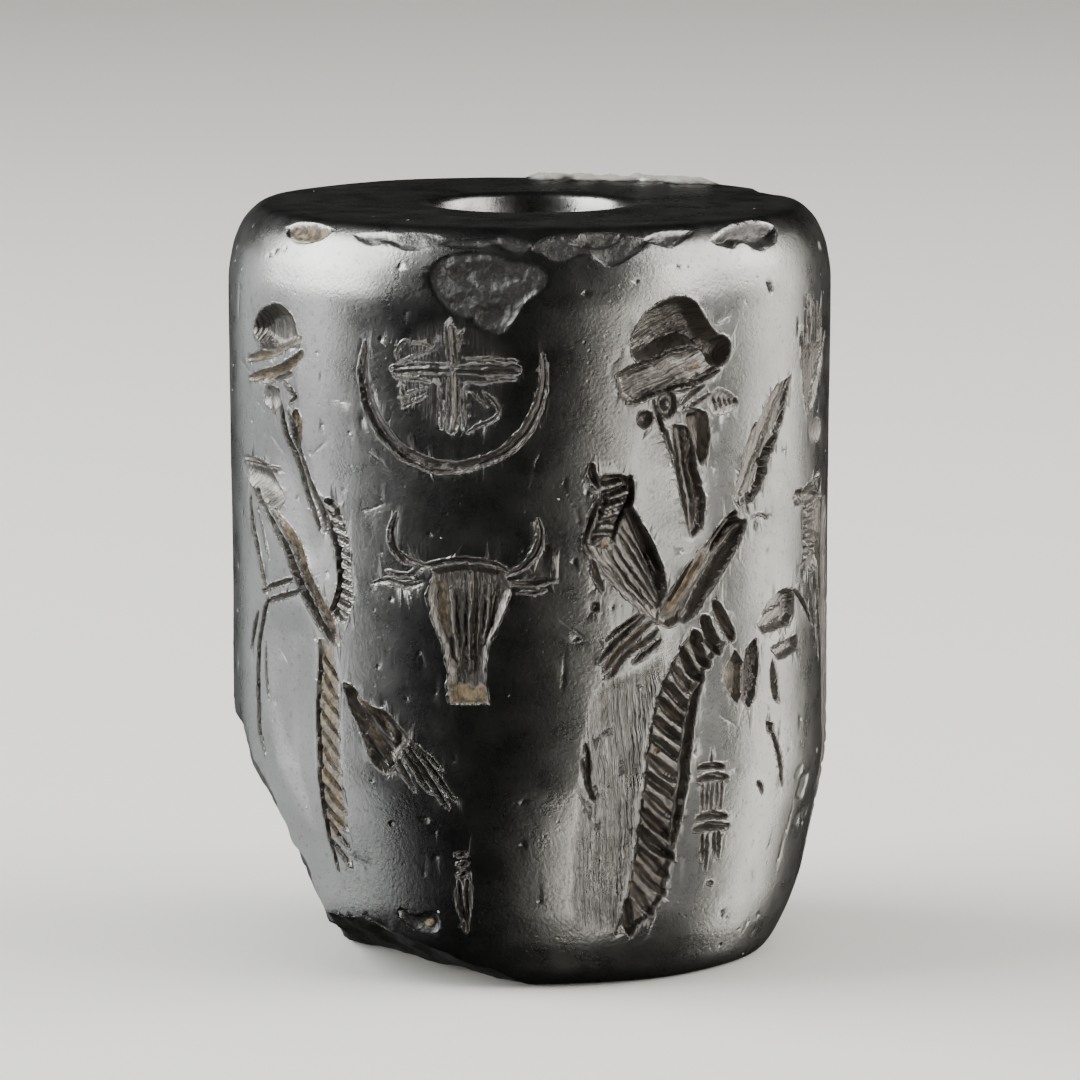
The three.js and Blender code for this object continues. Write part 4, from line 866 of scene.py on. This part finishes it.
def breakOff(points, spec, broken):
    # distance along the ray is cut so that it ends on the break's plane, hollowed in the middle and
    # roughened
    normal = np.array(spec["normal"]) / np.linalg.norm(spec["normal"])
    heart = np.stack([seal["heart"][0] * np.sin(angle), -seal["heart"][0] * np.cos(angle),
        np.full_like(angle, seal["heart"][1])], -1)
    ray = points - heart
    along = np.maximum(ray @ normal, 1e-6)
    gap = (np.array(spec["point"]) - heart) @ normal
    hit = heart + ray * np.minimum(gap / along, 1)[..., None]
    sideways = np.cross(normal, (0, 1.0, 0))
    a, b = hit[..., 1] + 40, hit @ sideways + 40
    away = np.linalg.norm(hit - np.array(spec["centre"]), axis=-1)
    ripple = 0.05 * np.sin(away * 4.6 + 2 * latticeNoise(a, b, 1.6,
        spec["seed"] + 9)) * smoothStep(spec["reach"] * 1.4, 0.3, away)
    inset = spec["hollow"] * smoothStep(spec["reach"],
        0, away) + spec["rough"] * layeredNoise(a, b, 1.5, spec["seed"], 4) + ripple
    share = np.minimum((gap - inset) / along, 1)
    lost = (1 - share) * np.linalg.norm(ray, axis=-1)
    return heart + ray * share[..., None], np.maximum(broken, smoothStep(0.0, 0.05, lost))


for spec in breaks:
    points, brokenMap = breakOff(points, spec, brokenMap)
# the foot stays within its plane
points[..., 2] = np.clip(points[..., 2], 0, None)
print("wear and breaks done")


def surfaceNormals(p):
    a = np.roll(p, -1, 0) - np.roll(p, 1, 0)
    b = np.roll(p, -1, 1) - np.roll(p, 1, 1)
    n = np.cross(a, b)
    return n / np.maximum(np.linalg.norm(n, axis=-1, keepdims=True), 1e-12)


def fillMesh(mesh, vertices, faces):
    mesh.vertices.add(len(vertices))
    mesh.vertices.foreach_set("co", vertices.astype(np.float32).ravel())
    mesh.loops.add(faces.size)
    mesh.loops.foreach_set("vertex_index", faces.ravel().astype(np.int32))
    mesh.polygons.add(len(faces))
    mesh.polygons.foreach_set("loop_start", np.arange(0, faces.size, faces.shape[1], dtype=np.int32))
    mesh.update(calc_edges=True)


def addField(mesh, name, values):
    kind = "FLOAT_VECTOR" if values.ndim == 2 else "FLOAT"
    layer = mesh.attributes.new(name, kind, "POINT")
    layer.data.foreach_set("vector" if values.ndim == 2 else "value", values.astype(np.float32).ravel())


def readField(mesh, name, wide=1):
    out = np.zeros(len(mesh.vertices) * wide, np.float32)
    mesh.attributes[name].data.foreach_get("vector" if wide > 1 else "value", out)
    return out.reshape(-1, wide) if wide > 1 else out


def denseSeal():
    columns, rows = points.shape[:2]
    index = np.arange(columns * rows).reshape(columns, rows)
    right, above = np.roll(index, -1, 0), np.roll(index, -1, 1)
    diagonal = np.roll(right, -1, 1)
    faces = np.stack([index, right, diagonal, above], -1).reshape(-1, 4)
    mesh = bpy.data.meshes.new("sealDense")
    fillMesh(mesh, points.reshape(-1, 3) * 0.001, faces)
    addField(mesh, "facing", surfaceNormals(points).reshape(-1, 3))
    for name, field in (("carved", carvedAndLipShadeMap), ("soil", soilMap), ("streak", streakMap),
        ("broken", brokenMap), ("crust", crustMap)):
        addField(mesh, name, field.ravel())
    addField(mesh, "stroke", np.stack([besideMap, onwardMap, np.zeros_like(besideMap)], -1).reshape(-1, 3))
    return bpy.data.objects.new("sealDense", mesh)


def thinned(dense):
    # flat stretches lose triangles and the carving keeps them
    bpy.context.scene.collection.objects.link(dense)
    thin = dense.modifiers.new("thin", "DECIMATE")
    thin.ratio = seal["trianglesKept"] / (2 * len(dense.data.polygons))
    thin.use_collapse_triangulate = True
    graph = bpy.context.evaluated_depsgraph_get()
    mesh = bpy.data.meshes.new_from_object(dense.evaluated_get(graph), depsgraph=graph)
    bpy.data.objects.remove(dense)
    mesh.name = "seal"
    piece = bpy.data.objects.new("seal", mesh)
    bpy.context.scene.collection.objects.link(piece)
    return piece


def unwrapRound(mesh):
    # across by azimuth, with the front given most room; up by direction from the heart of the section
    co = np.zeros(len(mesh.vertices) * 3, np.float32)
    mesh.vertices.foreach_get("co", co)
    x, y, z = co.reshape(-1, 3).T * 1000.0
    turn = np.arctan2(x, -y) * seal["maxRadius"]
    reach = seal["fineReach"]
    u = np.interp(turn, (-girth / 2, -reach, reach, girth / 2), (0.0, 0.13, 0.87, 1.0))
    rowTurn = np.unwrap(np.arctan2(rowHeight - seal["heart"][1], rowRadius - seal["heart"][0]))
    weight = np.where(rowRadius > seal["wallBeyond"], 1.0, np.where(rowRadius < 2.4, 0.12, 0.45))
    run = np.cumsum(np.hypot(np.diff(rowRadius, prepend=rowRadius[0]),
        np.diff(rowHeight, prepend=rowHeight[0])) * weight)
    own = np.mod(np.arctan2(z - seal["heart"][1], np.hypot(x, y) - seal["heart"][0]) - rowTurn[0],
        2 * math.pi)
    v = np.interp(own, np.maximum.accumulate(rowTurn - rowTurn[0]), run / run[-1])
    loops = np.zeros(len(mesh.loops), np.int32)
    mesh.loops.foreach_get("vertex_index", loops)
    uv = np.stack([u[loops], v[loops]], 1).reshape(-1, 3, 2)
    for axis in (0, 1):
        # a face that crosses the seam keeps to one side of it
        wide = uv[..., axis].max(1) - uv[..., axis].min(1) > 0.5
        uv[..., axis] += (uv[..., axis] < 0.5) * wide[:, None]
    layer = mesh.uv_layers.new(name="OFBake")
    layer.data.foreach_set("uv", (uv * 0.985).astype(np.float32).ravel())


sealPiece = thinned(denseSeal())
facing = readField(sealPiece.data, "facing", 3)
facing /= np.maximum(np.linalg.norm(facing, axis=1, keepdims=True), 1e-9)
sealPiece.data.attributes.remove(sealPiece.data.attributes["facing"])
unwrapRound(sealPiece.data)
sealPiece.data.polygons.foreach_set("use_smooth", np.ones(len(sealPiece.data.polygons), bool))
sealPiece.data.normals_split_custom_set_from_vertices(facing.tolist())
print("seal mesh", len(sealPiece.data.polygons), "triangles")


def linear(hexColour):
    # sRGB hex to linear light
    parts = [int(hexColour[i:i + 2], 16) / 255 for i in (1, 3, 5)]
    return tuple(c / 12.92 if c <= 0.04045 else ((c + 0.055) / 1.055) ** 2.4 for c in parts) + (1.0,)


def node(tree, kind, settings=None, inputs=None):
    # one node with its settings, and inputs that are values or (node, output) links
    made = tree.nodes.new(kind)
    for key, value in (settings or {}).items():
        setattr(made, key, value)
    for key, value in (inputs or {}).items():
        if isinstance(value, tuple) and len(value) == 2 and hasattr(value[0], "outputs"):
            tree.links.new(value[0].outputs[value[1]], made.inputs[key])
        else:
            made.inputs[key].default_value = value
    return made


def emptyMaterial(name):
    material = bpy.data.materials.new(name)
    material.use_nodes = True
    tree = material.node_tree
    tree.nodes.clear()
    shader = node(tree, "ShaderNodeBsdfPrincipled")
    out = node(tree, "ShaderNodeOutputMaterial")
    tree.links.new(shader.outputs["BSDF"], out.inputs["Surface"])
    return material, tree, shader


def mixColour(tree, share, a, b):
    # A and B are inputs 6 and 7 of the colour mix
    made = node(tree, "ShaderNodeMix", {"data_type": "RGBA"}, {0: share, 6: a, 7: b})
    return (made, 2)


def sums(tree, operation, a, b, clamp=False):
    return (node(tree, "ShaderNodeMath", {"operation": operation, "use_clamp": clamp}, {0: a, 1: b}), 0)


def blendValues(tree, share, a, b):
    return (node(tree, "ShaderNodeMix", {"data_type": "FLOAT"}, {0: share, 2: a, 3: b}), 0)


def span(tree, value, low, high, toLow=0.0, toHigh=1.0):
    return (node(tree, "ShaderNodeMapRange", {"clamp": True},
        {0: value, 1: low, 2: high, 3: toLow, 4: toHigh}), 0)


finish = {
    "stone": "#93928e",
    "stoneShade": "#7f7e7b",
    "carving": "#524d48",
    "carvingPale": "#827d77",
    "fracture": "#3e3c3a",
    "soil": "#857760",
    "soilDark": "#4a4034",
    "crust": "#8d8a80",
    "dust": "#b9b4a8",
    "polish": 0.27,
    "dull": 0.36,
    "freshBreak": 0.52,
    "earth": 0.85,
    # sizes in millimetres of the drag lines, across and along a stroke
    "dragSize": (0.075, 1.3),
    # heights in millimetres of the relief that is too fine for the mesh
    "pitRelief": -0.006,
    "grainRelief": 0.007,
    "dragRelief": 0.05,
    "carvedRelief": 0.015,
    "brokenRelief": 0.05,
    "earthRelief": 0.05,
}


def polishedHematite():
    # dense iron-oxide stone with a metal-grey polish; carving duller with drag lines along each stroke,
    # its darker tone carried onto the polished lip round each cut as painted shade; buff soil in deep cuts
    material, tree, shader = emptyMaterial("polishedHematite")
    place = (node(tree, "ShaderNodeTexCoord"), "Object")
    field = lambda name: (node(tree, "ShaderNodeAttribute", {"attribute_name": name}), "Fac")
    noise = lambda size, detail=3.0, where=place: (node(tree, "ShaderNodeTexNoise", None,
        {"Vector": where, "Scale": 1000.0 / size, "Detail": detail, "Roughness": 0.6}), "Fac")
    carved, soil, streak, broken, crust = (field(name)
        for name in ("carved", "soil", "streak", "broken", "crust"))
    grain = noise(0.09, 3.0)
    cloud = noise(3.0, 3.0)
    # drag lines: noise in millimetres beside and along the stroke, stretched along it
    stroke = (node(tree, "ShaderNodeAttribute", {"attribute_name": "stroke"}), "Vector")
    across, along = finish["dragSize"]
    steps = (1 / across, 1 / along, 1.0)
    drawn = (node(tree, "ShaderNodeMapping", None, {"Vector": stroke, "Scale": steps}), 0)
    drag = (node(tree, "ShaderNodeTexNoise", None,
        {"Vector": drawn, "Scale": 1.0, "Detail": 3.0, "Roughness": 0.65}), "Fac")
    lined = sums(tree, "MAXIMUM", carved, streak)
    stone = mixColour(tree, span(tree, cloud, 0.35, 0.65), linear(finish["stoneShade"]),
        linear(finish["stone"]))
    stone = mixColour(tree, span(tree, noise(0.16, 2.0), 0.58, 0.7, 0.0, 0.3),
        stone, linear(finish["soilDark"]))
    cutTone = mixColour(tree, span(tree, drag, 0.34, 0.62), linear(finish["carving"]),
        linear(finish["carvingPale"]))
    # cut tone over the carving; on the thin band of polish round each cut that the mask also covers, this
    # darker tone is painted shade over the lip's highlight
    colour = mixColour(tree, sums(tree, "MULTIPLY", carved, 0.85), stone, cutTone)
    colour = mixColour(tree, sums(tree, "MULTIPLY",
        sums(tree, "MULTIPLY", streak, span(tree, drag, 0.6, 0.35)), 0.7),
        colour, linear(finish["carving"]))
    colour = mixColour(tree, sums(tree, "MULTIPLY", broken, 0.7), colour, linear(finish["fracture"]))
    dirty = span(tree, sums(tree, "ADD", soil, sums(tree, "MULTIPLY",
        sums(tree, "SUBTRACT", noise(0.3, 3.0), 0.5), 1.2)), 0.3, 0.75)
    dirty = sums(tree, "MULTIPLY", dirty, span(tree, soil, 0.0, 0.1))
    soilTone = mixColour(tree, span(tree, noise(0.2, 3.0), 0.38, 0.6), linear(finish["soilDark"]),
        linear(finish["soil"]))
    colour = mixColour(tree, dirty, colour, soilTone)
    # dust: few small pale specks
    speck = (node(tree, "ShaderNodeTexVoronoi", None, {"Vector": place, "Scale": 1000.0 / 0.55}), 0)
    dust = sums(tree, "MULTIPLY", span(tree, speck, 0.07, 0.04), span(tree, noise(0.8, 1.0), 0.6, 0.64))
    colour = mixColour(tree, dust, colour, linear(finish["dust"]))
    colour = mixColour(tree, crust, colour, linear(finish["crust"]))
    earthy = sums(tree, "MAXIMUM", sums(tree, "MULTIPLY", dirty, 0.85), sums(tree, "MAXIMUM", crust, dust))
    metal = blendValues(tree, earthy, blendValues(tree, carved, 1.0, 0.94), 0.0)
    polish = span(tree, noise(0.9, 4.0), 0.3, 0.7, finish["polish"] - 0.02, finish["polish"] + 0.05)
    rough = blendValues(tree, broken, blendValues(tree, carved, polish, finish["dull"]),
        finish["freshBreak"])
    rough = blendValues(tree, earthy, rough, finish["earth"])
    # relief too fine for the mesh: pits and grain in the polish, drag lines, crumbly soil
    pits = span(tree, (node(tree, "ShaderNodeTexVoronoi", None, {"Vector": place, "Scale": 1000.0 / 0.28}),
        0), 0.0, 0.18)
    scatter = span(tree, noise(1.3, 2.0), 0.46, 0.58)
    pitted = sums(tree, "MULTIPLY", sums(tree, "SUBTRACT", 1.0, pits), scatter)
    relief = sums(tree, "MULTIPLY", pitted, finish["pitRelief"])
    relief = sums(tree, "ADD", relief, sums(tree, "MULTIPLY", grain, finish["grainRelief"]))
    for texture, mask, height in (
        (drag, lined, "dragRelief"), (noise(0.12, 3.0), carved, "carvedRelief"),
        (noise(0.22, 5.0), broken, "brokenRelief"), (noise(0.1, 3.0), earthy, "earthRelief"),
    ):
        raised = sums(tree, "MULTIPLY", sums(tree, "MULTIPLY", texture, mask), finish[height])
        relief = sums(tree, "ADD", relief, raised)
    bump = node(tree, "ShaderNodeBump", None, {"Strength": 1.0, "Distance": 0.001, "Height": relief})
    for key, value in (("Base Color", colour), ("Metallic", metal), ("Roughness", rough),
        ("Normal", (bump, 0))):
        tree.links.new(value[0].outputs[value[1]], shader.inputs[key])
    return material


sealPiece.data.materials.clear()
sealPiece.data.materials.append(polishedHematite())
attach(sealPiece, "root")
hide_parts("seal_body")
print("hematite made")


studio = {
    "floorReach": 0.6,
    "coveRadius": 0.2,
    "coveHeight": 0.7,
    "floorColour": "#d9d6d0",
    # azimuth and half width in degrees, elevation from and to, distance, strength
    "boxes": [
        {"azimuth": -111, "half": 31, "low": -38, "high": 8, "reach": 0.2, "power": 0.64, "tilt": 0,
            "tint": (0.95, 1.0, 1.03)},
        {"azimuth": -90, "half": 30, "low": 8, "high": 52, "reach": 0.22, "power": 5.0, "tilt": 0,
            "tint": (0.97, 1.0, 1.02)},
        {"azimuth": -80, "half": 9, "low": -38, "high": 14, "reach": 0.24, "power": 0.72, "tilt": 32,
            "tint": (0.95, 1.0, 1.03)},
        {"azimuth": 40, "half": 11, "low": -50, "high": 30, "reach": 0.24, "power": 1.6, "tilt": -30,
            "tint": (1.03, 1.0, 0.95)},
        {"azimuth": 82, "half": 26, "low": 10, "high": 52, "reach": 0.25, "power": 2.6, "tilt": 0,
            "tint": (1.0, 1.0, 1.0)},
        {"azimuth": 70, "half": 14, "low": -38, "high": 10, "reach": 0.27, "power": 0.2, "tilt": 0,
            "tint": (1.0, 1.0, 1.0)},
        {"azimuth": 107, "half": 16, "low": -38, "high": 30, "reach": 0.22, "power": 1.8, "tilt": 0,
            "tint": (1.03, 1.0, 0.95)},
    ],
    "radiance": 2.1,
    "overhead": 3.0,
    "overheadPlace": (0, -0.02, 0.5),
    "overheadSize": 0.5,
    "aim": 0.0095,
    "floorFacets": 96,
    "floorRoughness": 0.85,
    "airColour": (0.5, 0.52, 0.55, 1),
    "airStrength": 0.01,
}


def areaLight(name, place, target, width, height, radiance, tilt=0):
    # power follows from the wanted brightness of the panel: pi times its area times radiance
    data = bpy.data.lights.new(name, "AREA")
    data.shape, data.size, data.size_y = "RECTANGLE", width, height
    data.energy = math.pi * width * height * radiance
    lamp = bpy.data.objects.new(name, data)
    bpy.context.scene.collection.objects.link(lamp)
    lamp.location = place
    direction = np.array(target) - np.array(place)
    facing = mathutils.Euler((math.atan2(math.hypot(direction[0], direction[1]), -direction[2]),
        0, math.atan2(-direction[0], direction[1])))
    # tilt turns the panel in its own plane
    lamp.rotation_euler = (facing.to_matrix() @ mathutils.Matrix.Rotation(math.radians(tilt),
        3, "Z")).to_euler()
    lamp.visible_camera = False
    return lamp


def studioSet():
    # round pale floor whose edge curves up into a wall; the polish doesn't mirror it
    rings, count = [(0.0, 0.0)], studio["floorFacets"]
    rings += [(studio["floorReach"] * k / 6, 0.0) for k in range(1, 7)]
    rings += [(studio["floorReach"] + studio["coveRadius"] * math.sin(t),
        studio["coveRadius"] * (1 - math.cos(t))) for t in np.linspace(0, math.pi / 2, 12)[1:]]
    rings.append((studio["floorReach"] + studio["coveRadius"], studio["coveHeight"]))
    turn = np.linspace(0, 2 * math.pi, count, endpoint=False)
    vertices = [(0, 0, 0)] + [(r * math.cos(t), r * math.sin(t), z) for r, z in rings[1:] for t in turn]
    faces = [(0, 1 + k, 1 + (k + 1) % count) for k in range(count)]
    for ring in range(len(rings) - 2):
        base = 1 + ring * count
        faces += [(base + k, base + count + k, base + count + (k + 1) % count, base + (k + 1) % count)
            for k in range(count)]
    mesh = bpy.data.meshes.new("floor")
    mesh.from_pydata(vertices, [], faces)
    mesh.polygons.foreach_set("use_smooth", np.ones(len(mesh.polygons), bool))
    floor = bpy.data.objects.new("floor", mesh)
    bpy.context.scene.collection.objects.link(floor)
    material, tree, shader = emptyMaterial("palePaper")
    shader.inputs["Base Color"].default_value = linear(studio["floorColour"])
    shader.inputs["Roughness"].default_value = studio["floorRoughness"]
    mesh.materials.append(material)
    floor.visible_glossy = False
    floor.visible_shadow = False


def studioLights():
    aim = studio["aim"]
    for k, box in enumerate(studio["boxes"]):
        turn = math.radians(box["azimuth"])
        tops = [box["reach"] * math.tan(math.radians(box[key])) for key in ("low", "high")]
        middle = sum(tops) / 2
        place = (box["reach"] * math.sin(turn), -box["reach"] * math.cos(turn), aim + middle)
        width = 2 * box["reach"] * math.tan(math.radians(box["half"]))
        areaLight("softbox%d" % k, place, (0, 0, place[2]), width, tops[1] - tops[0],
            studio["radiance"] * box["power"], box["tilt"]).data.color = box["tint"]
    size = studio["overheadSize"]
    overhead = areaLight("overhead", studio["overheadPlace"], (0, 0, 0), size, size, studio["overhead"])
    overhead.visible_glossy = False
    world = bpy.data.worlds.new("dim")
    world.use_nodes = True
    world.node_tree.nodes["Background"].inputs["Color"].default_value = studio["airColour"]
    world.node_tree.nodes["Background"].inputs["Strength"].default_value = studio["airStrength"]
    bpy.context.scene.world = world


view = {"rise": 8.2, "distance": 0.19, "target": (0.00025, 0.0, 0.0102), "lens": 253, "sensor": 36}


def camera():
    # a long lens from just above the height of the seal
    rise, distance, target = math.radians(view["rise"]), view["distance"], view["target"]
    data = bpy.data.cameras.new("camera")
    data.lens, data.sensor_width = view["lens"], view["sensor"]
    data.clip_start, data.clip_end = 0.01, 5
    eye = bpy.data.objects.new("camera", data)
    bpy.context.scene.collection.objects.link(eye)
    eye.location = (target[0], target[1] - distance * math.cos(rise), target[2] + distance * math.sin(rise))
    eye.rotation_euler = (math.pi / 2 - rise, 0, 0)
    bpy.context.scene.camera = eye


studioSet()
studioLights()
camera()
print("studio made")
